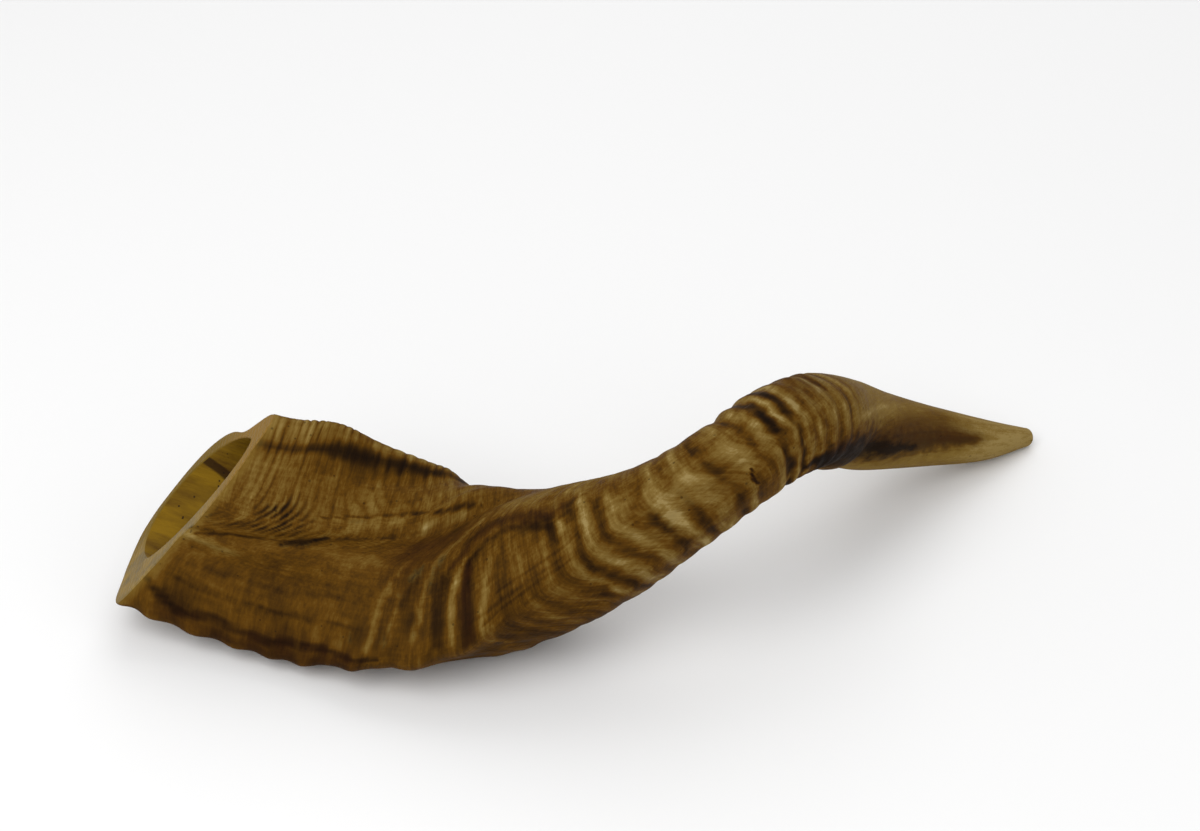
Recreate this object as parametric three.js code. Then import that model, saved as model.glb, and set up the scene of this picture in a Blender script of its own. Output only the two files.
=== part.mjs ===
// The horn sheath of a sheep: one twisted, ringed piece, sawn off at its hollow base and solid at its tip.
// Millimetres, +Z up. The horn is laid out along +X with its near side towards +Z, then rolled onto the
// three low places it rests on, with the middle of its underside at the origin.
// An angle round the horn is 0 at the brow, 90 on the near side, 180 at the keel and 270 on the far side.

import * as THREE from "three";

// Stations along the spine: centre, twist in degrees, and the half sizes of the section
// across the brow and keel (wide), towards the near side (near) and away from it (far).
const STATIONS = [
  { at: [-124, -28.5, 0], twist: 0, wide: 31, near: 10, far: 33 },
  { at: [-103.5, -35, 1], twist: -2, wide: 33, near: 11, far: 28 },
  { at: [-78, -41, 2], twist: -13, wide: 33, near: 11, far: 25 },
  { at: [-52, -47, 2], twist: -36, wide: 30.5, near: 15, far: 24 },
  { at: [-27.5, -46, 3], twist: -64, wide: 27, near: 20.5, far: 23 },
  { at: [-3, -39, 8], twist: -82, wide: 22, near: 19.5, far: 20 },
  { at: [18, -28.5, 15], twist: -102, wide: 17, near: 15, far: 15.5 },
  { at: [36, -17, 16], twist: -129, wide: 14.5, near: 14, far: 14 },
  { at: [52, -5.5, 6], twist: -160, wide: 14.5, near: 14, far: 14.5 },
  { at: [66, -1.5, -12], twist: -190, wide: 14.5, near: 14, far: 14.5 },
  { at: [77, -2, -33], twist: -222, wide: 14, near: 13.5, far: 13.5 },
  { at: [90, -5, -52], twist: -255, wide: 13, near: 12.5, far: 13 },
  { at: [108.5, -7, -70], twist: -272, wide: 10.5, near: 10, far: 10.5 },
  { at: [129, -8.5, -84], twist: -280, wide: 7.5, near: 7, far: 7.5 },
  { at: [146, -7.5, -95], twist: -285, wide: 3.3, near: 3.3, far: 3.3 },
];
const LAST = STATIONS.length - 1;

// Edges and channels that run along the horn: the angle they lie at, the share of the radius that they rise,
// their angular width, and the stations over which they grow in, if not from the cut, and fade out.
const EDGES = [
  { name: "keel", angle: steady(180), rise: 0.09, width: 14, fade: [4, 12] },
  { name: "brow", angle: turning(0, 22, 0, 6), rise: 0.13, width: 13, fade: [2.5, 5] },
  { name: "brow valley", angle: turning(14, 22, 0, 4), rise: -0.08, width: 6, fade: [2.6, 3.8] },
  { name: "seam", angle: turning(47, 50, 1, 4), rise: -0.05, width: 6, grow: [1, 2.2], fade: [3.4, 4.2] },
  { name: "groove", angle: turning(130, 76, -0.6, 2.6), rise: -0.13, width: 10, fade: [3.6, 5] },
  { name: "flank hollow", angle: steady(150), rise: -0.34, width: 20, fade: [0.3, 3] },
  { name: "keel crease", angle: steady(169), rise: -0.05, width: 5, fade: [1.6, 2.8] },
  { name: "neck valley", angle: steady(334), rise: -0.08, width: 13, fade: [1, 3] },
  { name: "cheek", angle: steady(250), rise: 0.06, width: 22, grow: [0, 3], fade: [8, 13] },
  { name: "neck", angle: steady(300), rise: 0.11, width: 22, fade: [4, 12] },
];

function steady(angle) {
  return () => angle;
}

// An angle that turns from one value to another over a run of stations.
function turning(from, to, start, stop) {
  return (t) => THREE.MathUtils.lerp(from, to, smooth(start, stop, t));
}

// Broad swells and dips: the underside, where the horn bears on the ground, the brow and the top of the first
// turn, the keel's corner at the cut, and the bend, whose last rings stand over the start of the smooth tail.
const SWELLS = [
  { station: 1.75, angle: 214, height: 2.6, reach: 0.35, width: 24 },
  { station: 2.8, angle: 236, height: -1, reach: 0.4, width: 30 },
  { station: 3.75, angle: 262, height: 2.2, reach: 0.35, width: 30 },
  { station: 3.5, angle: 50, height: 4.5, reach: 0.75, width: 24 },
  { station: 3.15, angle: 11, height: 2.6, reach: 0.35, width: 18 },
  { station: 2.15, angle: 3, height: -1.7, reach: 0.4, width: 20 },
  { station: 0.3, angle: 182, height: 1.4, reach: 0.6, width: 12 },
  { station: 0.1, angle: 222, height: -1.8, reach: 0.5, width: 20 },
  { station: 8.4, angle: 310, height: 1.4, reach: 0.9, width: 34 },
  { station: 9.35, angle: 5, height: 1.6, reach: 0.35, width: 34 },
  { station: 10.05, angle: 350, height: -2.2, reach: 0.35, width: 30 },
  { station: 10.3, angle: 62, height: 1.2, reach: 0.6, width: 24 },
];

// Growth furrows: distance along the growth, depth and half width.
const FURROWS = [
  { at: 86.5, deep: 0.4, half: 1.8 },
  { at: 96.5, deep: 0.5, half: 2 },
  { at: 105, deep: 0.5, half: 2 },
  { at: 116, deep: 0.3, half: 2.4 },
  { at: 128, deep: 0.3, half: 2.2 },
  { at: 138, deep: 0.6, half: 2 },
  { at: 145.5, deep: 0.6, half: 2 },
  { at: 153.5, deep: 0.6, half: 2 },
  { at: 161, deep: 0.4, half: 1.9 },
  { at: 169.5, deep: 0.5, half: 2 },
  { at: 175.5, deep: 0.4, half: 1.9 },
  { at: 185.5, deep: 1, half: 1.8 },
  { at: 191.5, deep: 0.9, half: 1.7 },
  { at: 196.5, deep: 0.7, half: 1.7 },
  { at: 201.5, deep: 0.6, half: 1.8 },
  { at: 208, deep: 0.6, half: 1.9 },
  { at: 215.5, deep: 0.4, half: 2 },
];

// Share of a furrow's depth on the finely ringed upper panel, the angles where the lower panel rises from it
// and ends behind the keel, and the stations by which the furrows go right round.
const UPPER_FURROWS = 0.3;
const LOWER_PANEL_START = [95, 125];
const LOWER_PANEL_END = [250, 330];
const FURROWS_ROUND = [5, 7];

// Growth lines slide towards the base on the lower panel and fan out near the cut: by how much, over which
// angles, and over which stations that fades. Behind the keel they swing back.
const SLIDES = [
  { name: "lower panel", most: 17, angles: [70, 120], fade: [5, 9] },
  { name: "fan", most: 16, angles: [115, 175], fade: [0, 2.5] },
];
const SLIDE_BACK = [182, 245];

// Lumps that scallop the keel: distances along the growth, and their common size.
const KEEL_LUMPS = [20, 29, 38, 47, 55, 63, 77, 91, 104];
const LUMP_HEIGHT = 1.3;
const LUMP_HALF = 3;
const LUMP_WIDTH = 15;
const KEEL_ANGLE = 180;

// The saw cut at the base: its outward normal, and the station by which sections stand square again.
const CUT_NORMAL = new THREE.Vector3(-0.721, 0.594, 0.35).normalize();
const CUT_FADE = 2.2;

// The hollow: how far it reaches along the stations, how early it narrows, its share of the width, the walls
// it leaves, and how its middle lies off the spine: to the brow and far side, its keel end leaning farther.
const HOLLOW_REACH = 4.8;
const HOLLOW_NARROWING = 1.25;
const HOLLOW_WIDE = 0.725;
const HOLLOW_NEAR_WALL = 5.4;
const HOLLOW_FAR_WALL = 2.4;
const HOLLOW_TO_BROW = 3;
const HOLLOW_TO_FAR = 4.8;
const HOLLOW_LEAN = 2;

// The rounded end past the last station.
const TIP_LENGTH = 2.6;

// How the horn rolls onto its resting places, in degrees about +X and about +Z.
const ROLL_X = 53.9;
const TURN_Z = 0.9;

// How finely the surface is divided: around, in zones along the stations, in the hollow and at the tip.
const AROUND = 32;
const ZONES = [
  { from: 0, to: 2.2, rings: 20 },
  { from: 2.2, to: 6.5, rings: 40 },
  { from: 6.5, to: 10, rings: 40 },
  { from: 10, to: LAST, rings: 18 },
];
const HOLLOW_RINGS = 18;
const TIP_RINGS = 4;

const HORN_COLOUR = 0x7a5c2c;
const HORN_ROUGHNESS = 0.5;

const rad = THREE.MathUtils.degToRad;

function smooth(from, to, x) {
  return THREE.MathUtils.smoothstep(x, from, to);
}

function bump(distance, half) {
  return Math.exp(-((distance / half) ** 2));
}

function wrap(angle) {
  return THREE.MathUtils.euclideanModulo(angle + 180, 360) - 180;
}

// One value of the stations, on a smooth curve through them that runs straight on at both ends.
function along(pick, t) {
  const i = Math.min(Math.floor(t), LAST - 1);
  const f = t - i;
  const p1 = pick(STATIONS[i]);
  const p2 = pick(STATIONS[i + 1]);
  const p0 = i > 0 ? pick(STATIONS[i - 1]) : 2 * p1 - p2;
  const p3 = i < LAST - 1 ? pick(STATIONS[i + 2]) : 2 * p2 - p1;
  const linear = (p2 - p0) * f;
  const square = (2 * p0 - 5 * p1 + 4 * p2 - p3) * f * f;
  const cube = (3 * p1 - p0 - 3 * p2 + p3) * f * f * f;
  return 0.5 * (2 * p1 + linear + square + cube);
}

function spineAt(t) {
  const axes = [0, 1, 2].map((axis) => along((station) => station.at[axis], t));
  return new THREE.Vector3(...axes);
}

// The spine's direction and the two directions square to it, from which the twist is counted.
const FRAME_STEP = 0.02;

function frameAt(t) {
  const ahead = spineAt(Math.min(t + FRAME_STEP, LAST));
  const tangent = ahead.sub(spineAt(Math.max(t - FRAME_STEP, 0))).normalize();
  const side = tangent.clone().cross(new THREE.Vector3(0, 1, 0)).normalize();
  const up = side.clone().cross(tangent);
  return { centre: spineAt(t), tangent, side, up, twist: along((station) => station.twist, t) };
}

// Length of the spine up to each small step, for distances in millimetres.
const STEPS_PER_STATION = 40;
const SPINE_LENGTHS = [0];
for (let step = 1; step <= LAST * STEPS_PER_STATION; step += 1) {
  const here = spineAt(step / STEPS_PER_STATION);
  const before = spineAt((step - 1) / STEPS_PER_STATION);
  SPINE_LENGTHS.push(SPINE_LENGTHS[step - 1] + here.distanceTo(before));
}

function spineLength(t) {
  const place = t * STEPS_PER_STATION;
  const i = Math.min(Math.floor(place), SPINE_LENGTHS.length - 2);
  return THREE.MathUtils.lerp(SPINE_LENGTHS[i], SPINE_LENGTHS[i + 1], place - i);
}

// How far the growth lines have slid towards the base.
function growthSlide(angle, t) {
  let slide = 0;
  for (const { most, angles, fade } of SLIDES) {
    slide += most * smooth(...angles, angle) * (1 - smooth(...fade, t));
  }
  return slide * (1 - smooth(...SLIDE_BACK, angle));
}

function edgeFactor(angle, t) {
  let factor = 1;
  for (const edge of EDGES) {
    const grown = edge.grow ? smooth(...edge.grow, t) : 1;
    const strength = grown * (1 - smooth(...edge.fade, t));
    factor += edge.rise * strength * bump(wrap(angle - edge.angle(t)), edge.width);
  }
  return factor;
}

function swellHeight(angle, t) {
  let height = 0;
  for (const swell of SWELLS) {
    const lengthwise = bump(t - swell.station, swell.reach);
    height += swell.height * lengthwise * bump(wrap(angle - swell.angle), swell.width);
  }
  return height;
}

// Furrows are shallow on the finely ringed upper panel, and go right round from the bend on.
function reliefHeight(growth, angle, t) {
  const lowerPanel = smooth(...LOWER_PANEL_START, angle) * (1 - smooth(...LOWER_PANEL_END, angle));
  const panel = THREE.MathUtils.lerp(UPPER_FURROWS, 1, lowerPanel);
  const furrowed = Math.max(panel, smooth(...FURROWS_ROUND, t));
  let height = 0;
  for (const furrow of FURROWS) {
    height -= furrow.deep * furrowed * bump(growth - furrow.at, furrow.half);
  }
  const onKeel = bump(wrap(angle - KEEL_ANGLE), LUMP_WIDTH);
  for (const lump of KEEL_LUMPS) {
    height += LUMP_HEIGHT * bump(growth - lump, LUMP_HALF) * onKeel;
  }
  return height;
}

// The plain section: half an ellipse on the near side and half of another on the far side.
function sectionRadius(angle, t) {
  const wide = along((station) => station.wide, t);
  const near = along((station) => station.near, t);
  const far = along((station) => station.far, t);
  const across = Math.cos(rad(angle)) / wide;
  const depth = Math.sin(rad(angle)) / (Math.sin(rad(angle)) > 0 ? near : far);
  return 1 / Math.hypot(across, depth);
}

// How far a point of a section slides along the spine to lie with the saw cut.
function cutSlide(offset, frame, t) {
  const full = -offset.dot(CUT_NORMAL) / frame.tangent.dot(CUT_NORMAL);
  return full * (1 - smooth(0, CUT_FADE, t));
}

function offsetInSection(toBrow, toNear, frame) {
  const twist = rad(frame.twist);
  const brow = frame.up.clone().multiplyScalar(Math.cos(twist)).addScaledVector(frame.side, Math.sin(twist));
  const near = frame.side.clone().multiplyScalar(Math.cos(twist)).addScaledVector(frame.up, -Math.sin(twist));
  return brow.multiplyScalar(toBrow).addScaledVector(near, toNear);
}

function placed(offset, frame, t) {
  const slide = cutSlide(offset, frame, t);
  return frame.centre.clone().add(offset).addScaledVector(frame.tangent, slide);
}

function outerPoint(angle, t, frame) {
  const plain = sectionRadius(angle, t) * edgeFactor(angle, t) + swellHeight(angle, t);
  const reach = offsetInSection(plain * Math.cos(rad(angle)), plain * Math.sin(rad(angle)), frame);
  const growth = spineLength(t) + cutSlide(reach, frame, t) + growthSlide(angle, t);
  reach.multiplyScalar(1 + reliefHeight(growth, angle, t) / plain);
  return placed(reach, frame, t);
}

function ringAngles() {
  return Array.from({ length: AROUND }, (_, index) => (index * 360) / AROUND);
}

function outerRing(t) {
  const frame = frameAt(t);
  return ringAngles().map((angle) => outerPoint(angle, t, frame));
}

function outerRings() {
  const rings = [];
  for (const zone of ZONES) {
    for (let index = 0; index < zone.rings; index += 1) {
      rings.push(outerRing(THREE.MathUtils.lerp(zone.from, zone.to, index / zone.rings)));
    }
  }
  rings.push(outerRing(LAST));
  return rings;
}

// The rounded tip: the last ring drawn in along the spine, and the point where it closes.
function tipRings() {
  const frame = frameAt(LAST);
  const rings = [];
  for (let index = 1; index < TIP_RINGS; index += 1) {
    const turn = rad((90 * index) / TIP_RINGS);
    const centre = frame.centre.clone().addScaledVector(frame.tangent, TIP_LENGTH * Math.sin(turn));
    const drawnIn = (point) => point.sub(frame.centre).multiplyScalar(Math.cos(turn)).add(centre);
    rings.push(outerRing(LAST).map(drawnIn));
  }
  return rings;
}

function tipPoint() {
  const frame = frameAt(LAST);
  return frame.centre.addScaledVector(frame.tangent, TIP_LENGTH);
}

// One ring of the hollow, which narrows to nothing on the spine.
function hollowRing(turn) {
  const t = HOLLOW_REACH * Math.sin(turn);
  const frame = frameAt(t);
  const narrowing = Math.cos(turn) ** HOLLOW_NARROWING;
  const wide = HOLLOW_WIDE * along((station) => station.wide, t);
  const near = along((station) => station.near, t) - HOLLOW_NEAR_WALL + HOLLOW_TO_FAR;
  const far = along((station) => station.far, t) - HOLLOW_FAR_WALL - HOLLOW_TO_FAR;
  return ringAngles().map((angle) => {
    const cosine = Math.cos(rad(angle));
    const sine = Math.sin(rad(angle));
    const toBrow = HOLLOW_TO_BROW + wide * cosine;
    const toNear = (sine > 0 ? near : far) * sine + HOLLOW_LEAN * cosine - HOLLOW_TO_FAR;
    return placed(offsetInSection(toBrow * narrowing, toNear * narrowing, frame), frame, t);
  });
}

function hollowRings() {
  const rings = [];
  for (let index = 0; index < HOLLOW_RINGS; index += 1) {
    rings.push(hollowRing((Math.PI * 0.5 * index) / HOLLOW_RINGS));
  }
  return rings;
}

// Bands of triangles between neighbouring rings, closed by a fan at each end.
function stitched(rings, firstPoint, lastPoint) {
  const points = [firstPoint, ...rings.flat(), lastPoint];
  const corner = (ring, index) => 1 + ring * AROUND + (index % AROUND);
  const faces = [];
  for (let index = 0; index < AROUND; index += 1) {
    faces.push(0, corner(0, index + 1), corner(0, index));
    for (let ring = 0; ring < rings.length - 1; ring += 1) {
      faces.push(corner(ring, index), corner(ring, index + 1), corner(ring + 1, index));
      faces.push(corner(ring, index + 1), corner(ring + 1, index + 1), corner(ring + 1, index));
    }
    faces.push(corner(rings.length - 1, index), corner(rings.length - 1, index + 1), points.length - 1);
  }
  const geometry = new THREE.BufferGeometry().setFromPoints(points);
  geometry.setIndex(faces);
  return geometry;
}

function hornGeometry() {
  const deepest = hollowRing(Math.PI * 0.5)[0];
  const rings = [...hollowRings().reverse(), ...outerRings(), ...tipRings()];
  const geometry = stitched(rings, deepest, tipPoint());
  geometry.computeVertexNormals();
  return geometry;
}

function makeHorn() {
  const material = new THREE.MeshStandardMaterial({
    color: HORN_COLOUR,
    roughness: HORN_ROUGHNESS,
    metalness: 0,
  });
  const horn = new THREE.Mesh(hornGeometry(), material);
  horn.name = "horn";
  horn.rotation.set(rad(ROLL_X), 0, rad(TURN_Z));
  const box = new THREE.Box3().setFromObject(horn, true);
  const middle = box.getCenter(new THREE.Vector3());
  horn.position.set(-middle.x, -middle.y, -box.min.z);
  return horn;
}

const part = new THREE.Group();
part.add(makeHorn());

export default part;
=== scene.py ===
"""The looks of a sheep horn: one twisted, ringed piece, sawn off at its hollow base, on a pale floor.

The surface is worked out in the horn's own layout, in millimetres: x along the horn, y up and z towards
the side that shows. An angle round the horn is 0 at the brow, 90 on the near side, 180 at the keel and 270
on the far side. The finished mesh is rolled onto its resting places and set down in the frame, in metres.
"""

import logging
import math
from dataclasses import dataclass
from enum import Enum

import bpy
import numpy as np
from mathutils import Matrix, Vector


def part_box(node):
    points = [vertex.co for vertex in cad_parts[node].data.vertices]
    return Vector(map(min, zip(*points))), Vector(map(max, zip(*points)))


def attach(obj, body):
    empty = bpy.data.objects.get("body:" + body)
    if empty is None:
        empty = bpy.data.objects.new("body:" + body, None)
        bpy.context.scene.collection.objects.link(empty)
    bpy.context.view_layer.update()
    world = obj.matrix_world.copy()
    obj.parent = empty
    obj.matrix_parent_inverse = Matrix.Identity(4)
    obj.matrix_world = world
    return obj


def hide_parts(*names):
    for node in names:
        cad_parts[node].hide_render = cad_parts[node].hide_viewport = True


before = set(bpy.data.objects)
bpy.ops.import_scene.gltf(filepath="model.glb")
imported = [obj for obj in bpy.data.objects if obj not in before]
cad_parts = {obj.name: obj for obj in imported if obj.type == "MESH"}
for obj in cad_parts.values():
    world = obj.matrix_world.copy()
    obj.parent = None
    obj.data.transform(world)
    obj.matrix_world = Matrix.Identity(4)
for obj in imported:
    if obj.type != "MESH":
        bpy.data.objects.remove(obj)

LOG = logging.getLogger("sheep_horn")
MM = 0.001

Triple = tuple[float, float, float]
Span = tuple[float, float]
Array = np.ndarray
Socket = bpy.types.NodeSocket


@dataclass(frozen=True)
class Station:
    """One place along the spine: its centre, its twist in degrees and the section's half sizes."""

    at: Triple
    twist: float
    wide: float
    near: float
    far: float


STATIONS = (
    Station((-124, -28.5, 0), 0, 31, 10, 33),
    Station((-103.5, -35, 1), -2, 33, 11, 28),
    Station((-78, -41, 2), -13, 33, 11, 25),
    Station((-52, -47, 2), -36, 30.5, 15, 24),
    Station((-27.5, -46, 3), -64, 27, 20.5, 23),
    Station((-3, -39, 8), -82, 22, 19.5, 20),
    Station((18, -28.5, 15), -102, 17, 15, 15.5),
    Station((36, -17, 16), -129, 14.5, 14, 14),
    Station((52, -5.5, 6), -160, 14.5, 14, 14.5),
    Station((66, -1.5, -12), -190, 14.5, 14, 14.5),
    Station((77, -2, -33), -222, 14, 13.5, 13.5),
    Station((90, -5, -52), -255, 13, 12.5, 13),
    Station((108.5, -7, -70), -272, 10.5, 10, 10.5),
    Station((129, -8.5, -84), -280, 7.5, 7, 7.5),
    Station((146, -7.5, -95), -285, 3.3, 3.3, 3.3),
)
LAST = len(STATIONS) - 1


@dataclass(frozen=True)
class Edge:
    """An edge or channel that runs along the horn, as a share of the radius that it rises or sinks."""

    name: str
    angles: Span
    over: Span
    rise: float
    width: float
    grow: Span
    fade: Span


EDGES = (
    Edge("keel", (180, 180), (0, 1), 0.09, 14, (-1, 0), (4, 12)),
    Edge("brow", (0, 22), (0, 6), 0.13, 13, (-1, 0), (2.5, 5)),
    Edge("brow valley", (14, 22), (0, 4), -0.08, 6, (-1, 0), (2.6, 3.8)),
    Edge("seam", (47, 50), (1, 4), -0.05, 6, (1, 2.2), (3.4, 4.2)),
    Edge("groove", (130, 76), (-0.6, 2.6), -0.13, 10, (-1, 0), (3.6, 5)),
    Edge("flank hollow", (150, 150), (0, 1), -0.34, 20, (-1, 0), (0.3, 3)),
    Edge("keel crease", (169, 169), (0, 1), -0.05, 5, (-1, 0), (1.6, 2.8)),
    Edge("neck valley", (334, 334), (0, 1), -0.08, 13, (-1, 0), (1, 3)),
    Edge("cheek", (250, 250), (0, 1), 0.06, 22, (0, 3), (8, 13)),
    Edge("neck", (300, 300), (0, 1), 0.11, 22, (-1, 0), (4, 12)),
)


@dataclass(frozen=True)
class Swell:
    """A broad swell or hollow of the surface, in millimetres, at one station and angle."""

    station: float
    angle: float
    height: float
    reach: float
    width: float


SWELLS = (
    Swell(1.75, 214, 2.6, 0.35, 24),
    Swell(2.8, 236, -1, 0.4, 30),
    Swell(3.75, 262, 2.2, 0.35, 30),
    Swell(3.5, 50, 4.5, 0.75, 24),
    Swell(3.15, 11, 2.6, 0.35, 18),
    Swell(2.15, 3, -1.7, 0.4, 20),
    Swell(0.3, 182, 1.4, 0.6, 12),
    Swell(0.1, 222, -1.8, 0.5, 20),
    Swell(8.4, 310, 1.4, 0.9, 34),
    Swell(9.35, 5, 1.6, 0.35, 34),
    Swell(10.05, 350, -2.2, 0.35, 30),
    Swell(10.3, 62, 1.2, 0.6, 24),
)


@dataclass(frozen=True)
class Furrow:
    """A growth furrow right round the horn, at a distance along the growth."""

    at: float
    deep: float
    half: float


FURROWS = (
    Furrow(86.5, 0.4, 1.8),
    Furrow(96.5, 0.5, 2),
    Furrow(105, 0.5, 2),
    Furrow(116, 0.3, 2.4),
    Furrow(128, 0.3, 2.2),
    Furrow(138, 0.6, 2),
    Furrow(145.5, 0.6, 2),
    Furrow(153.5, 0.6, 2),
    Furrow(161, 0.4, 1.9),
    Furrow(169.5, 0.5, 2),
    Furrow(175.5, 0.4, 1.9),
    Furrow(185.5, 1, 1.8),
    Furrow(191.5, 0.9, 1.7),
    Furrow(196.5, 0.7, 1.7),
    Furrow(201.5, 0.6, 1.8),
    Furrow(208, 0.6, 1.9),
    Furrow(215.5, 0.4, 2),
)


def smooth(start: float, stop: float, x: Array | float) -> Array | float:
    """Zero before start, one after stop, and an even S between them."""
    part = np.clip((x - start) / (stop - start), 0, 1)
    return part * part * (3 - 2 * part)


def fade(start: float, stop: float, x: Array | float) -> Array | float:
    """One before start, zero after stop, and an even S between them."""
    return 1 - smooth(start, stop, x)


def within(x: Array, rise: Span, fall: Span) -> Array:
    """One between a rise and a fall, and zero outside them."""
    return smooth(*rise, x) * fade(*fall, x)


def bump(distance: Array, half: float) -> Array:
    """One at distance zero, falling off over the half width."""
    return np.exp(-((distance / half) ** 2))


def wrap(angle: Array) -> Array:
    """An angle in degrees, brought to between -180 and 180."""
    return np.mod(angle + 180, 360) - 180


class Lattice:
    """Smooth random values from 0 to 1 over three coordinates, the same each time for a seed."""

    SIDE = 32

    def __init__(self, seed: int) -> None:
        """Fills the lattice from its seed."""
        self.values = np.random.default_rng(seed).random((self.SIDE,) * 3)

    def __call__(self, x: Array, y: Array, z: Array) -> Array:
        """Values between the lattice points, one cell to each unit."""
        cells = [np.floor(c).astype(int) for c in (x, y, z)]
        parts = [smooth(0, 1, c - cell) for c, cell in zip((x, y, z), cells)]
        total = 0
        for corner in np.ndindex(2, 2, 2):
            place = tuple((cell + step) % self.SIDE for cell, step in zip(cells, corner))
            share = 1
            for part, step in zip(parts, corner):
                share = share * (part if step else 1 - part)
            total = total + share * self.values[place]
        return total

    def layered(self, x: Array, y: Array, z: Array, layers: int = 3) -> Array:
        """Several sizes of the same randomness, each finer one half as strong."""
        total, weight = 0, 0
        for layer in range(layers):
            share = 0.5**layer
            finer = 2.03**layer
            total = total + share * self(x * finer, y * finer, z * finer)
            weight += share
        return total / weight

    def over(self, skin: "Skin", along: Array, long: float, wide: float, start: float = 0) -> Array:
        """Layered values over a skin, in blotches so many millimetres long and wide."""
        x, y = skin.round_coordinates()
        return self.layered(along / long + start, x / wide, y / wide)


class Spine:
    """The curve through the stations, with its frames and its length."""

    NUDGE = 0.02
    STEPS = 40

    def __init__(self, stations: tuple[Station, ...]) -> None:
        """Lays out the stations as a table and measures the curve."""
        rows = [(*s.at, s.twist, s.wide, s.near, s.far) for s in stations]
        table = np.array(rows, float)
        self.ended = np.vstack([2 * table[0] - table[1], table, 2 * table[-1] - table[-2]])
        self.ticks = np.linspace(0, LAST, LAST * self.STEPS + 1)
        gaps = np.linalg.norm(np.diff(self.values(self.ticks)[:, :3], axis=0), axis=1)
        self.lengths = np.concatenate([[0], np.cumsum(gaps)])

    def values(self, t: Array) -> Array:
        """Centre, twist and half sizes at places t, on a smooth curve through the stations."""
        t = np.clip(np.atleast_1d(t), 0, LAST)
        i = np.minimum(t.astype(int), LAST - 1)
        f = (t - i)[:, None]
        p0, p1, p2, p3 = (self.ended[i + k] for k in range(4))
        square = 2 * p0 - 5 * p1 + 4 * p2 - p3
        cube = 3 * p1 - p0 - 3 * p2 + p3
        return 0.5 * (2 * p1 + (p2 - p0) * f + square * f**2 + cube * f**3)

    def frames(self, t: Array) -> tuple[Array, Array, Array]:
        """Tangent, up and side directions at places t."""
        tangent = self.values(t + self.NUDGE)[:, :3] - self.values(t - self.NUDGE)[:, :3]
        tangent /= np.linalg.norm(tangent, axis=1)[:, None]
        side = np.cross(tangent, (0, 1, 0))
        side /= np.linalg.norm(side, axis=1)[:, None]
        return tangent, np.cross(side, tangent), side

    def length(self, t: Array) -> Array:
        """Millimetres along the spine from the base to places t."""
        return np.interp(t, self.ticks, self.lengths)


@dataclass
class Skin:
    """A grid of surface points with where each lies on the horn: rows along it, columns round it."""

    points: Array
    t: Array
    angle: Array
    along: Array
    growth: Array

    def round_coordinates(self) -> tuple[Array, Array]:
        """Two coordinates round the horn, in millimetres, that close on themselves."""
        around = np.radians(self.angle)
        return HornForm.NOMINAL_RADIUS * np.cos(around), HornForm.NOMINAL_RADIUS * np.sin(around)

    def place_values(self) -> dict[str, Array]:
        """Where each point lies, by the names that the finishes read."""
        x, y = self.round_coordinates()
        return {"growth": self.growth, "along": self.along, "round_x": x, "round_y": y}


KEEL_LUMPS = (20, 29, 38, 47, 55, 63, 77, 91, 104)


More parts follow.
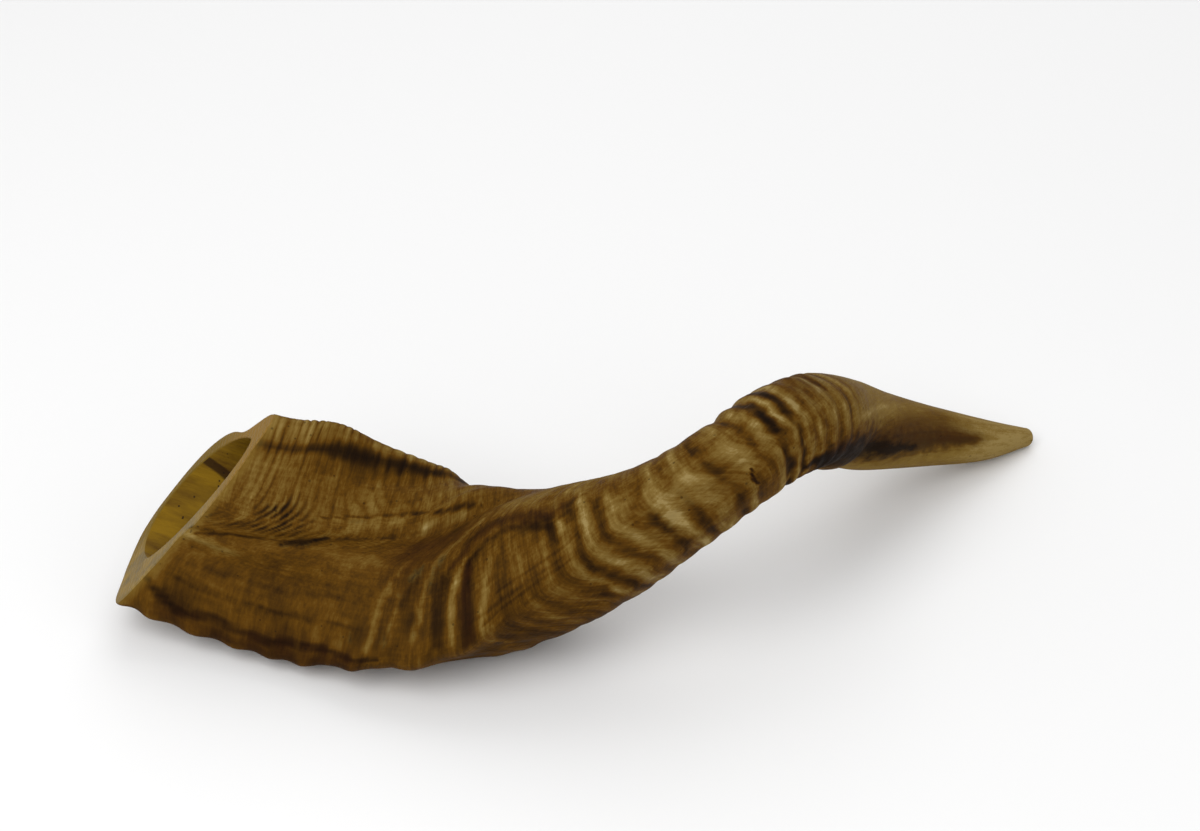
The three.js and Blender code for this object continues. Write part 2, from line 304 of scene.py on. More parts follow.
@dataclass
class HornForm:
    """The horn's shape: its outer skin, its hollow and the sawn plane between them.

    Every size is in millimetres, and a reach along the horn is counted in stations.
    """

    NOMINAL_RADIUS = 20.0
    LOWER_SLIDE = 17
    FAN_SLIDE = 16
    WANDER = 2.4
    WANDER_LONG = 14
    WANDER_CELLS = 3
    UPPER_FURROWS = 0.3

    lump_height: float = 1.3
    lump_half: float = 3
    lump_width: float = 15
    cut_direction: Triple = (-0.721, 0.594, 0.35)
    cut_fade: float = 2.2
    hollow_reach: float = 4.8
    hollow_narrowing: float = 1.25
    hollow_wide: float = 0.725
    hollow_to_brow: float = 3
    hollow_near_wall: float = 5.4
    hollow_far_wall: float = 2.4
    hollow_to_far: float = 4.8
    hollow_lean: float = 2
    tip_length: float = 2.6

    def __post_init__(self) -> None:
        """Prepares the spine, the cut's normal and the randomness of the surface."""
        self.spine = Spine(STATIONS)
        direction = np.array(self.cut_direction)
        self.cut_normal = direction / np.linalg.norm(direction)
        self.roughness = Lattice(11)

    def growth_slide(self, angle: Array, t: Array) -> Array:
        """How far the growth lines have slid towards the base at an angle."""
        lower = self.LOWER_SLIDE * smooth(70, 120, angle) * fade(5, 9, t)
        fan = self.FAN_SLIDE * smooth(115, 175, angle) * fade(0, 2.5, t)
        return (lower + fan) * fade(182, 245, angle)

    def edge_factor(self, angle: Array, t: Array) -> Array:
        """The share of the plain radius that the edges and channels leave or add."""
        factor = np.ones(np.broadcast(angle, t).shape)
        for edge in EDGES:
            first, last = edge.angles
            middle = first + (last - first) * smooth(*edge.over, t)
            strength = within(t, edge.grow, edge.fade)
            factor += edge.rise * strength * bump(wrap(angle - middle), edge.width)
        return factor

    def swell_height(self, angle: Array, t: Array) -> Array:
        """The broad swells, in millimetres."""
        height = 0
        for swell in SWELLS:
            place = bump(t - swell.station, swell.reach) * bump(wrap(angle - swell.angle), swell.width)
            height = height + swell.height * place
        return height

    def relief_height(self, growth: Array, angle: Array, t: Array) -> Array:
        """Furrows and keel lumps, which wander a little as grown horn does, in millimetres."""
        lower_panel = within(angle, (95, 125), (250, 330))
        furrowed = self.UPPER_FURROWS + (1 - self.UPPER_FURROWS) * lower_panel
        furrowed = np.maximum(furrowed, smooth(5, 7, t))
        around = np.radians(angle)
        x, y = self.WANDER_CELLS * np.cos(around), self.WANDER_CELLS * np.sin(around)
        wandered = growth + self.WANDER * (self.roughness.layered(growth / self.WANDER_LONG, x, y) - 0.5)
        height = 0
        for furrow in FURROWS:
            height = height - furrow.deep * furrowed * bump(wandered - furrow.at, furrow.half)
        for lump in KEEL_LUMPS:
            on_keel = bump(wrap(angle - 180), self.lump_width)
            height = height + self.lump_height * bump(growth - lump, self.lump_half) * on_keel
        return height

    def section_radius(self, angle: Array, rows: Array) -> Array:
        """The plain section: half an ellipse on the near side and half of another on the far side."""
        wide, near, far = (rows[:, k, None] for k in (4, 5, 6))
        across = np.cos(np.radians(angle)) / wide
        sine = np.sin(np.radians(angle))
        return 1 / np.hypot(across, sine / np.where(sine > 0, near, far))

    def cut_slide(self, offsets: Array, tangent: Array, t: Array) -> Array:
        """How far each point of a section slides along the spine to lie with the saw cut."""
        full = -(offsets @ self.cut_normal) / (tangent @ self.cut_normal)[:, None]
        return full * fade(0, self.cut_fade, t)

    def offsets(self, to_brow: Array, to_near: Array, t: Array, rows: Array) -> Array:
        """Points of sections as offsets from the spine.

        Args:
            to_brow: distances towards the brow, one row for each section.
            to_near: distances towards the near side.
            t: the sections' places.
            rows: the spine's values there.

        Returns:
            Offsets in the layout, rows by columns by three.
        """
        _, up, side = self.spine.frames(t)
        twist = np.radians(rows[:, 3])[:, None]
        brow = up * np.cos(twist) + side * np.sin(twist)
        near = side * np.cos(twist) - up * np.sin(twist)
        return to_brow[..., None] * brow[:, None] + to_near[..., None] * near[:, None]

    def outer(self, t: Array, angles: Array) -> Skin:
        """The outer skin at places t and angles round the horn.

        Args:
            t: places along the stations, one for each row.
            angles: degrees round the horn, one for each column.

        Returns:
            The skin, with its furrows and lumps but without the fine rings.
        """
        rows = self.spine.values(t)
        tangent, _, _ = self.spine.frames(t)
        t_grid, angle = np.meshgrid(t, angles, indexing="ij")
        plain = self.section_radius(angle, rows) * self.edge_factor(angle, t_grid)
        plain = plain + self.swell_height(angle, t_grid)
        cos, sin = np.cos(np.radians(angle)), np.sin(np.radians(angle))
        offsets = self.offsets(plain * cos, plain * sin, t, rows)
        along = self.spine.length(t_grid) + self.cut_slide(offsets, tangent, t_grid)
        growth = along + self.growth_slide(angle, t_grid)
        offsets = offsets * (1 + self.relief_height(growth, angle, t_grid) / plain)[..., None]
        slide = self.cut_slide(offsets, tangent, t_grid)
        points = rows[:, None, :3] + offsets + tangent[:, None] * slide[..., None]
        return Skin(points, t_grid, angle, along, growth)

    def tip(self, angles: Array, rings: int) -> tuple[Skin, Array]:
        """The rounded end past the last station, and the point where it closes."""
        last = np.array([float(LAST)])
        edge = self.outer(last, angles)
        centre = self.spine.values(last)[0, :3]
        tangent = self.spine.frames(last)[0][0]
        turns = np.radians(90 * np.arange(1, rings) / rings)
        drawn = (edge.points - centre) * np.cos(turns)[:, None, None]
        points = centre + drawn + tangent * (self.tip_length * np.sin(turns))[:, None, None]
        more = (self.tip_length * np.sin(turns))[:, None]
        t_grid, angle = (np.broadcast_to(g, points.shape[:2]) for g in (edge.t, edge.angle))
        place = Skin(points, t_grid, angle, edge.along + more, edge.growth + more)
        return place, centre + tangent * self.tip_length

    def hollow(self, turns: Array, angles: Array) -> Skin:
        """The wall of the hollow, from the cut (turn 0) to its narrow end (turn 90 degrees)."""
        t = self.hollow_reach * np.sin(turns)
        rows = self.spine.values(t)
        tangent, _, _ = self.spine.frames(t)
        t_grid, angle = np.meshgrid(t, angles, indexing="ij")
        narrowing = (np.maximum(np.cos(turns), 0) ** self.hollow_narrowing)[:, None]
        wide = self.hollow_wide * rows[:, 4][:, None]
        near = rows[:, 5][:, None] - self.hollow_near_wall + self.hollow_to_far
        far = rows[:, 6][:, None] - self.hollow_far_wall - self.hollow_to_far
        cos, sin = np.cos(np.radians(angle)), np.sin(np.radians(angle))
        to_brow = narrowing * (self.hollow_to_brow + wide * cos)
        to_near = np.where(sin > 0, near, far) * sin - self.hollow_to_far + self.hollow_lean * cos
        to_near = narrowing * to_near
        offsets = self.offsets(to_brow, to_near, t, rows)
        slide = self.cut_slide(offsets, tangent, t_grid)
        points = rows[:, None, :3] + offsets + tangent[:, None] * slide[..., None]
        along = self.spine.length(t_grid) + slide
        return Skin(points, t_grid, angle, along, along)


class Paint(Enum):
    """What a mark changes: lightness, blue-black stain, reddish brown, or pale bare horn."""

    TONE = "tone"
    STAIN = "stain"
    WARM = "warm"
    PALE = "pale"


@dataclass
class Surface:
    """A skin with the random values that break up its marks, each from 0 to 1.

    Lined is the millimetres along that colour bands keep to, wandering as the growth lines do.
    """

    skin: Skin
    lined: Array
    ragged: Array
    blotch: Array
    streaks: Array


@dataclass(frozen=True)
class Band:
    """A colour band round the horn at a distance along it, between two angles and broken into pieces."""

    at: float
    half: float
    amount: float
    angles: Span = (-180, 540)
    paint: Paint = Paint.TONE
    soft: float = 8
    broken: float = 0.55

    BLOTCHES = (0.35, 0.6)
    LEAST = 0.6
    FRAY = 0.8

    def weight(self, surface: Surface) -> Array:
        """How strongly the band lies on each point."""
        rise, fall = ((end - self.soft, end + self.soft) for end in self.angles)
        inside = within(surface.skin.angle, rise, fall)
        kept = 1 - self.broken * fade(*self.BLOTCHES, surface.blotch)
        frayed = self.LEAST + self.FRAY * surface.ragged
        return inside * kept * bump(surface.lined - self.at, self.half) * frayed


@dataclass(frozen=True)
class Patch:
    """A soft patch round a point, given as millimetres along the horn and an angle."""

    along: float
    angle: float
    long: float
    wide: float
    amount: float
    paint: Paint = Paint.TONE
    streaked: float = 0

    LEAST = 0.5

    def weight(self, surface: Surface) -> Array:
        """How strongly the patch lies on each point."""
        skin = surface.skin
        part = bump(skin.along - self.along, self.long) * bump(wrap(skin.angle - self.angle), self.wide)
        broken = part * (self.LEAST + surface.ragged)
        return broken * (1 - self.streaked + self.streaked * surface.streaks)


@dataclass(frozen=True)
class Stroke:
    """A brush line through points, each millimetres along, an angle and a half width in millimetres."""

    points: tuple[Triple, ...]
    amount: float
    paint: Paint = Paint.TONE
    ragged: float = 0.9

    MM_PER_DEGREE = 0.42
    GONE = 1.9
    FAR = 9.0
    FRAY = 1.8
    FRAY_MIDDLE = 0.45

    def weight(self, surface: Surface) -> Array:
        """How strongly the line lies on each point, from its distance on the skin."""
        skin = surface.skin
        least = np.full(skin.along.shape, self.FAR)
        for (s0, a0, h0), (s1, a1, h1) in zip(self.points, self.points[1:]):
            ds, da = s1 - s0, (a1 - a0) * self.MM_PER_DEGREE
            x = skin.along - s0
            y = wrap(skin.angle - a0) * self.MM_PER_DEGREE
            part = np.clip((x * ds + y * da) / (ds * ds + da * da), 0, 1)
            away = np.hypot(x - part * ds, y - part * da) / (h0 + (h1 - h0) * part)
            least = np.minimum(least, away)
        frayed = least + self.ragged * self.FRAY * (surface.ragged - self.FRAY_MIDDLE)
        return fade(0, self.GONE, frayed)


MARKS = (
    Stroke(((12, 12, 0.4), (30, 12, 0.5), (44, 12, 0.9), (58, 13, 1), (72, 16, 0.8), (85, 20, 0.7)), -0.28),
    Stroke(
        ((30, 12, 0.3), (42, 12, 0.8), (52, 12.5, 1), (62, 13.5, 0.9), (74, 17, 0.5)),
        0.7, Paint.STAIN, 1.2,
    ),
    Patch(52, 16, 14, 4, -0.1),
    Patch(70, 6, 14, 6, 0.16),
    # Painted shade: the next two strokes darken the groove channel, where shade falls in it.
    Stroke(((4, 128, 0.7), (9, 119, 1), (14, 108, 0.9), (24, 101, 0.8), (32, 98, 1), (40, 88, 1.1)), -0.26),
    Stroke(((40, 88, 1), (46, 81, 0.8), (54, 76, 0.7), (62, 72, 0.6)), -0.26),
    Stroke(((30, 105, 1), (35, 99, 2.4), (39, 91, 2.4), (43, 82, 1.2)), 0.9, Paint.STAIN, 1.3),
    Patch(10, 114, 6, 8, -0.16, streaked=0.5),
    Patch(28, 58, 8, 15, 1, Paint.STAIN, 1),
    Patch(28, 60, 9, 17, -0.16, streaked=1),
    Patch(27, 78, 10, 9, 0.95, Paint.STAIN, 1),
    Patch(9, 90, 6, 9, 1, Paint.STAIN, 1),
    Patch(20, 84, 12, 8, -0.16, streaked=1),
    Patch(50, 56, 2.5, 4, 0.5, Paint.STAIN, 0.7),
    Patch(16, 134, 14, 10, 0.15),
    Patch(52, 116, 9, 14, 0.14),
    Patch(34, 122, 8, 10, -0.06),
    Patch(30, 150, 40, 7, -0.04),
    Patch(30, 104, 12, 9, 0.06),
    Patch(6, 140, 8, 9, 0.08),
    Stroke(
        (
            (-8, 169, 0.3), (4, 173.5, 0.4), (16, 172, 0.4), (30, 173.5, 0.4),
            (44, 172, 0.3), (56, 173.5, 0.4), (66, 175, 0.4),
        ),
        -0.34, ragged=0.9,
    ),
    Stroke(((16, 176, 1), (30, 177, 1.8), (44, 177, 2.2), (60, 178, 2.4)), -0.2, ragged=1.4),
    Patch(4, 172, 5, 5, -0.16),
    Stroke(((-2, 176, 1), (14, 177, 2), (34, 177, 2.4), (60, 178, 2.4)), 0.4, Paint.WARM),
    Stroke(((4, 160, 0.3), (20, 157, 0.4), (36, 156, 0.3), (58, 150, 0.3)), -0.14, ragged=1.3),
    Stroke(((2, 166, 0.3), (30, 165, 0.4), (60, 163, 0.3)), -0.14, ragged=1.3),
    Patch(77, 94, 14, 17, -0.17),
    Patch(80, 94, 15, 19, 0.45, Paint.WARM),
    Patch(68, 118, 6, 20, -0.1),
    Patch(74, 150, 12, 28, -0.1),
    Patch(59, 166, 3, 6, 0.55, Paint.STAIN, 0.2),
    Patch(66, 166, 1.6, 7, 0.6, Paint.STAIN, 0.2),
    Patch(72, 160, 1.8, 9, 0.5, Paint.STAIN, 0.2),
    Patch(79.5, 164, 1.5, 10, 0.5, Paint.STAIN, 0.2),
    Patch(87.3, 166, 2, 13, 0.5, Paint.STAIN, 0.2),
    Patch(70, 112, 9, 30, 0.35, Paint.WARM),
    Patch(85, 86, 4, 7, 0.6, Paint.STAIN, 0.4),
    Stroke(
        ((94, 98, 0.8), (86, 102, 1), (81, 107, 1.2), (77, 125, 1.5), (75, 140, 1.5), (74, 165, 1.3)),
        0.22, ragged=1.4,
    ),
    Stroke(((75.5, 114, 1), (71, 128, 1.2), (68.5, 145, 1.4), (67, 168, 1.2)), 0.2, ragged=1.4),
    Stroke(((69, 110, 0.8), (66, 125, 1), (64, 145, 1.3), (62.5, 170, 1.2)), 0.2, ragged=1.4),
    Stroke(((87, 128, 1), (84.5, 142, 1.5), (83, 155, 1.5), (83, 174, 1.2)), 0.24, ragged=1.4),
    Stroke(((74, 119, 1.2), (71.5, 131, 2.2), (69, 150, 1.4)), 0.6, Paint.STAIN, 1.5),
    Stroke(((79.5, 116, 1), (78, 128, 1.7), (77, 142, 1.3)), 0.55, Paint.STAIN, 1.5),
    Stroke(((80.5, 134, 1.4), (79, 158, 1.6), (79, 172, 1.1)), -0.26, ragged=1.3),
    Stroke(((88, 135, 1.6), (87, 154, 2), (87.5, 178, 2)), -0.28, ragged=1.3),
    Stroke(((88, 135, 1.6), (87, 154, 2), (87.5, 178, 2)), 0.5, Paint.WARM),
    Stroke(((99, 138, 1.6), (94, 155, 2), (92, 172, 1.8), (94, 192, 1.6), (98, 212, 1.2)), 0.2, ragged=1.3),
    Stroke(
        ((83, 128, 1.2), (90, 112, 1.7), (100, 112, 1.8), (110, 122, 1.8), (120, 136, 1.6), (134, 134, 1.2)),
        -0.2, ragged=1.2,
    ),
    Stroke(
        ((83, 128, 1.2), (92, 115, 2.6), (102, 115, 3.2), (112, 124, 3.2), (124, 134, 2.6)),
        0.5, Paint.WARM,
    ),
    Stroke(
        ((88, 133, 0.8), (96, 126, 1), (106, 128, 1), (113, 136, 1.3), (119, 146, 1), (128, 142, 0.8)),
        -0.22, ragged=1.3,
    ),
    Patch(114, 138, 4, 4, 0.7, Paint.STAIN, 0.3),
    Patch(111, 98, 15, 15, 0.14),
    Patch(130, 104, 12, 15, 0.12),
    Stroke(((88, 170, 0.4), (106, 173, 0.5), (122, 174, 0.4)), -0.13, ragged=1.6),
    Stroke(((92, 176, 0.4), (110, 177, 0.5), (124, 179, 0.5)), -0.15, ragged=1.6),
    Stroke(((98, 166, 0.3), (116, 168, 0.4), (130, 168, 0.3)), -0.12, ragged=1.6),
    Stroke(((40, 55, 0.4), (48, 50, 0.6), (58, 47, 0.6), (66, 48, 0.6), (72, 54, 0.5)), -0.26, ragged=1.2),
    Stroke(((75, 59, 0.5), (80, 63, 0.6), (86, 66, 0.6), (93, 70, 0.4)), -0.4, ragged=0.8),
    Patch(61.5, 57, 2.4, 4.5, 0.16),
    Patch(73, 67, 4.5, 3.6, 0.3),
    Patch(84.5, 70, 4, 3.2, 0.26),
    Patch(52, 60, 4, 4, 0.08),
    Patch(67, 59, 2.6, 4, -0.2),
    Patch(84, 46, 22, 24, 0.12),
    Patch(20, 35, 9, 16, 0.08),
    Patch(62, 30, 9, 12, -0.05, streaked=0.4),
    # Painted light: the next two patches lighten a lit area just past the keel, about 150 to 165 mm along.
    Patch(155, 198, 10, 20, 0.1),
    Patch(164, 194, 6, 11, 0.08),
    Patch(147, 200, 3, 12, -0.14),
    Patch(158, 248, 5, 15, -0.12),
    Patch(178, 250, 6, 20, -0.1),
    Patch(150, 235, 60, 60, 0.2, Paint.WARM),
    Patch(108, 252, 22, 50, -0.12),
    Patch(94, 205, 10, 14, -0.16),
    Patch(206, 205, 9, 24, 0.45, Paint.WARM),
    Stroke(((174.8, 228, 0.25), (173.9, 239, 0.4), (174.6, 249, 0.25)), -0.7, ragged=0.3),
    Band(98, 1.5, -0.2, (125, 178)),
    Band(110, 1.8, -0.14, (125, 225)),
    Band(111.6, 1.4, 0.16, (192, 225)),
    Band(114.5, 1.3, -0.12, (186, 230)),
    Band(118, 1.5, 0.14, (140, 240)),
    Band(122.5, 1.5, -0.12, (182, 240)),
    Band(127, 1.5, 0.14, (150, 245)),
    Band(129.8, 1.4, -0.28, (135, 335)),
    Band(129.6, 1, 0.55, (188, 235), Paint.STAIN),
    Band(132.6, 1.3, 0.26, (135, 335)),
    Band(136, 1.6, -0.26, (125, 340)),
    Band(135.6, 1.1, 0.6, (188, 255), Paint.STAIN),
    Band(140, 1.6, 0.26, (125, 345)),
    Band(144, 1.4, -0.26, (150, 340)),
    Band(143.8, 1, 0.5, (195, 230), Paint.STAIN),
    Band(147.2, 1.3, 0.2, (150, 340)),
    Band(152.3, 1.8, -0.26, (150, 345)),
    Band(152.6, 1.4, 0.6, (190, 270), Paint.STAIN),
    Band(156.6, 1.5, 0.32, (130, 330)),
    Band(160.6, 1.3, -0.2, (150, 345)),
    Band(161, 0.9, 0.45, (195, 300), Paint.STAIN),
    Band(165, 1.5, 0.2),
    Band(169.9, 1.6, -0.26),
    Band(169.9, 1.1, 0.5, (185, 300), Paint.STAIN),
    Band(174.8, 1.8, 0.24, (140, 232)),
    Band(173.2, 1.1, 0.18, (240, 345)),
    Band(176, 1.2, -0.16, (232, 345)),
    Band(179.3, 1.2, -0.22, (150, 232)),
    Band(182.4, 1.2, 0.2),
    Band(185.9, 1.6, -0.34),
    Band(185.9, 1.1, 0.8, (170, 330), Paint.STAIN),
    Band(188.8, 0.9, 0.22),
    Band(191.4, 1.4, -0.3),
    Band(191.5, 0.9, 0.6, (170, 300), Paint.STAIN),
    Band(194.3, 1.1, 0.24),
    Band(196.8, 0.9, -0.18, (-180, 290)),
    Band(198.9, 0.9, 0.18, (-180, 288)),
    Band(201.7, 1.2, -0.2, (-180, 287)),
    Band(205.2, 1.3, 0.22, (-180, 285)),
    Band(208.4, 1.2, -0.18, (-180, 283)),
    Band(211.6, 1.2, 0.14, (-180, 280)),
    Band(214.8, 1.2, -0.16, (-180, 272)),
    Band(218.2, 1.2, 0.1, (-180, 270)),
    Band(221.4, 1.2, -0.1, (-180, 264)),
    # Partly painted shade: the next two strokes darken the tail where it runs behind the bend; the dark is
    # partly the horn's own brown and blue-black, partly painted shade.
    Stroke(
        (
            (192, 290, 0.8), (198, 294, 3), (205, 308, 7.5), (214, 326, 10), (226, 336, 10), (238, 350, 9.5),
            (250, 360, 10), (262, 364, 8.6), (276, 366, 7), (290, 368, 5.6), (304, 368, 3),
        ),
        -0.6, ragged=0.7,
    ),
    Stroke(
        (
            (194, 290, 0.8), (201, 295, 3), (210, 314, 7), (221, 328, 8), (233, 343, 6.4), (243, 356, 6.4),
            (254, 366, 5.4), (268, 372, 2.6),
        ),
        1, Paint.STAIN, 1.1,
    ),
    Stroke(
        (
            (205, 296, 3), (214, 308, 7), (226, 322, 9), (238, 340, 10), (250, 356, 11), (270, 362, 10.5),
            (303, 366, 6),
        ),
        0.75, Paint.WARM, 0.7,
    ),
    Stroke(((219, 282, 1.4), (230, 286, 2.2), (240, 292, 2), (250, 299, 1)), 0.14),
    Stroke(((250, 346, 0.8), (264, 350, 1), (280, 352, 0.8), (298, 356, 0.5)), -0.16, ragged=1.3),
    Stroke(((250, 382, 0.8), (266, 386, 1), (286, 388, 0.9), (302, 390, 0.5)), -0.16, ragged=1.3),
    Patch(286, 376, 3.5, 6, 0.22),
    Patch(266, 332, 26, 13, -0.12),
    Patch(270, 336, 30, 15, 0.45, Paint.WARM),
    Patch(294, 352, 12, 16, 0.35, Paint.WARM),
    Patch(290, 324, 7, 8, -0.08),
    Patch(272, 46, 42, 16, 0.08),
    Patch(272, 46, 50, 18, 0.35, Paint.PALE),
)


class HornPainter:
    """Works out the colour values of every point of the skin from the marks and some randomness."""

    RING_SHARP = 0.7
    RING_MIDDLE = 0.64
    RING_START = 199.4
    RING_SPACING = 2.6
    WANDER = 2.4
    QUIVER = 1.5
    LEAD_LOST = ((7, 60, 86), (3.5, 118, 132), (3.5, 132, 152), (3, 165, 190))
    BROW_RINGS = 0.24
    BEND_RINGS = 0.12
    BACK_RINGS = 0.09
    UPPER_RINGS = 0.085
    LOW_RINGS = 0.03
    MIDDLE_TONE = 0.6
    TONE_GAINS = ((0.08, 105, 140), (0.11, 212, 240), (0.16, 285, 318))

    def __init__(self, seed: int = 5) -> None:
        """Prepares the randomness."""
        self.coarse = Lattice(seed)
        self.fine = Lattice(seed + 1)

    def leaned(self, skin: Skin) -> Array:
        """The growth with the lean that its lines have on the upper panel: back at first, then forward."""
        turned = wrap(skin.angle)
        lean = within(turned, (12, 62), (68, 100))
        span = within(skin.along, (38, 66), (110, 130))
        swept = bump(turned - 78, 20) * fade(34, 56, skin.along)
        return skin.growth - 11 * lean * span + 6 * swept

    def colour_lines(self, skin: Skin) -> Array:
        """Millimetres along that each colour band keeps to: bands bend back at the keel, less further on."""
        lead = HornForm.LOWER_SLIDE
        for less, start, stop in self.LEAD_LOST:
            lead = lead - less * smooth(start, stop, skin.along)
        lower = smooth(70, 120, skin.angle) * (1 - np.clip((skin.angle - 186) / 56, 0, 1))
        return skin.along + lead * lower

    def ring_phase(self, skin: Skin) -> Array:
        """Which fine ring each point is on: rings 2.6 mm apart at the base, up to 5 mm further on."""
        table = np.linspace(-40, 400, 1761)
        spacing = self.RING_SPACING + 1.5 * smooth(42, 62, table) + 0.9 * smooth(100, 190, table)
        count = np.concatenate([[0], np.cumsum(np.diff(table) / spacing[1:])])
        start = np.interp(self.RING_START, table, count)
        wander = self.coarse.over(skin, skin.growth, 9, 9) - 0.5
        quiver = self.fine.over(skin, skin.growth, 4, 5) - 0.5
        grown = self.leaned(skin) + self.WANDER * wander + self.QUIVER * quiver
        return np.interp(grown, table, count - start)

    def ring_height(self, skin: Skin) -> Array:
        """How tall the fine rings stand, in millimetres: tall on the brow, low on the lower panel."""
        turned = wrap(skin.angle)
        upper = within(turned, (-80, -30), (66, 104))
        base = within(skin.along, (6, 18), (40, 72))
        brow = bump(turned - 2, 9) * fade(66, 92, skin.along)
        bend = within(skin.growth, (176, 196), (216, 236))
        bend = bend * (1 - smooth(284, 300, skin.angle) * smooth(194, 206, skin.along))
        back = within(turned, (-150, -110), (10, 50))
        back = back * smooth(50, 80, skin.along) * fade(170, 200, skin.along)
        uneven = 0.15 + 1.5 * smooth(0.25, 0.75, self.coarse.over(skin, skin.growth, 6, 10, 9))
        tall = self.LOW_RINGS * self.line_share(skin) + self.UPPER_RINGS * upper * base
        tall = tall + self.BROW_RINGS * brow + self.BEND_RINGS * bend + self.BACK_RINGS * back
        return uneven * tall * fade(218, 244, skin.growth)

    def line_share(self, skin: Skin) -> Array:
        """How plainly the fine growth lines show: hardly on the lower panel and not on the tail."""
        panel = within(skin.angle, (92, 112), (176, 190)) * fade(52, 70, skin.along)
        return (1 - 0.85 * panel) * fade(212, 236, skin.along)

    def values(self, skin: Skin) -> dict[str, Array]:
        """Every value of a painted skin, by the names that the finishes read."""
        phase, height = self.ring_phase(skin), self.ring_height(skin)
        rings = {"ring_phase": phase, "ring_height": height, "lines": self.line_share(skin)}
        return {**skin.place_values(), **rings, **self.paint(skin)}

    def paint(self, skin: Skin) -> dict[str, Array]:
        """Colour values for the skin.

        Args:
            skin: the outer skin.

        Returns:
            One array for each kind of paint, from 0 to 1.
        """
        wander = self.coarse.over(skin, skin.growth, 11, 7, 3) - 0.5
        quiver = self.fine.over(skin, skin.growth, 5, 3) - 0.5
        surface = Surface(
            skin,
            lined=self.colour_lines(skin) + 2.6 * wander + self.QUIVER * quiver,
            ragged=self.fine.over(skin, skin.growth, 1.8, 2.6),
            blotch=self.coarse.over(skin, skin.growth, 5, 6, 5),
            streaks=self.streaks(skin),
        )
        values = {kind: np.zeros(skin.along.shape) for kind in Paint}
        values[Paint.TONE] = self.base_tone(surface)
        worn = fade(0.01, 0.16, skin.t) * smooth(-20, 20, wrap(skin.angle))
        values[Paint.PALE] = 0.22 * smooth(205, 245, skin.along) + 0.4 * worn
        for mark in MARKS:
            values[mark.paint] = values[mark.paint] + mark.amount * mark.weight(surface)
        return {kind.value: np.clip(value, 0, 1) for kind, value in values.items()}

    def streaks(self, skin: Skin) -> Array:
        """Streaks that lie in the furrows between the fine rings, from 0 to 1."""
        phase = self.ring_phase(skin)
        valley = 1 - np.sin(np.pi * np.mod(phase, 1)) ** self.RING_SHARP
        blotch = self.fine.over(skin, skin.growth, 3, 6)
        return np.clip(0.1 + 1.7 * valley, 0, 1) * smooth(0.34, 0.54, blotch)

    def base_tone(self, surface: Surface) -> Array:
        """The lightness before any mark: broad changes, the fine rings, the brow, the keel and the rim."""
        skin = surface.skin
        turned, lines = wrap(skin.angle), self.line_share(skin)
        broad = self.coarse.over(skin, skin.along, 26, 14) - 0.5
        streaky = self.fine.over(skin, surface.lined, 1.7, 16) - 0.5
        cloudy = self.fine.over(skin, skin.along, 13, 5) - 0.5
        tone = self.MIDDLE_TONE + 0.2 * broad + lines * 0.22 * streaky
        tone = tone + 0.24 * cloudy * (1 - lines)
        ring = np.sin(np.pi * np.mod(self.ring_phase(skin), 1)) ** self.RING_SHARP - self.RING_MIDDLE
        shown = np.clip(self.ring_height(skin) * 1.25, 0.02, 0.28)
        tone = tone + ring * shown * fade(212, 235, skin.along)
        tone = tone + 0.14 * bump(turned - 4, 6) * fade(60, 90, skin.along)
        lumps = sum(bump(skin.growth - lump, 2.4) for lump in KEEL_LUMPS)
        keel = (0.2 * lumps - 0.13) * bump(wrap(skin.angle - 180), 6)
        tone = tone + keel * fade(62, 80, skin.along)
        tone = tone + 0.08 * fade(0.04, 0.26, skin.t) * smooth(-20, 20, turned)
        for gain, start, stop in self.TONE_GAINS:
            tone = tone + gain * smooth(start, stop, skin.along)
        return tone


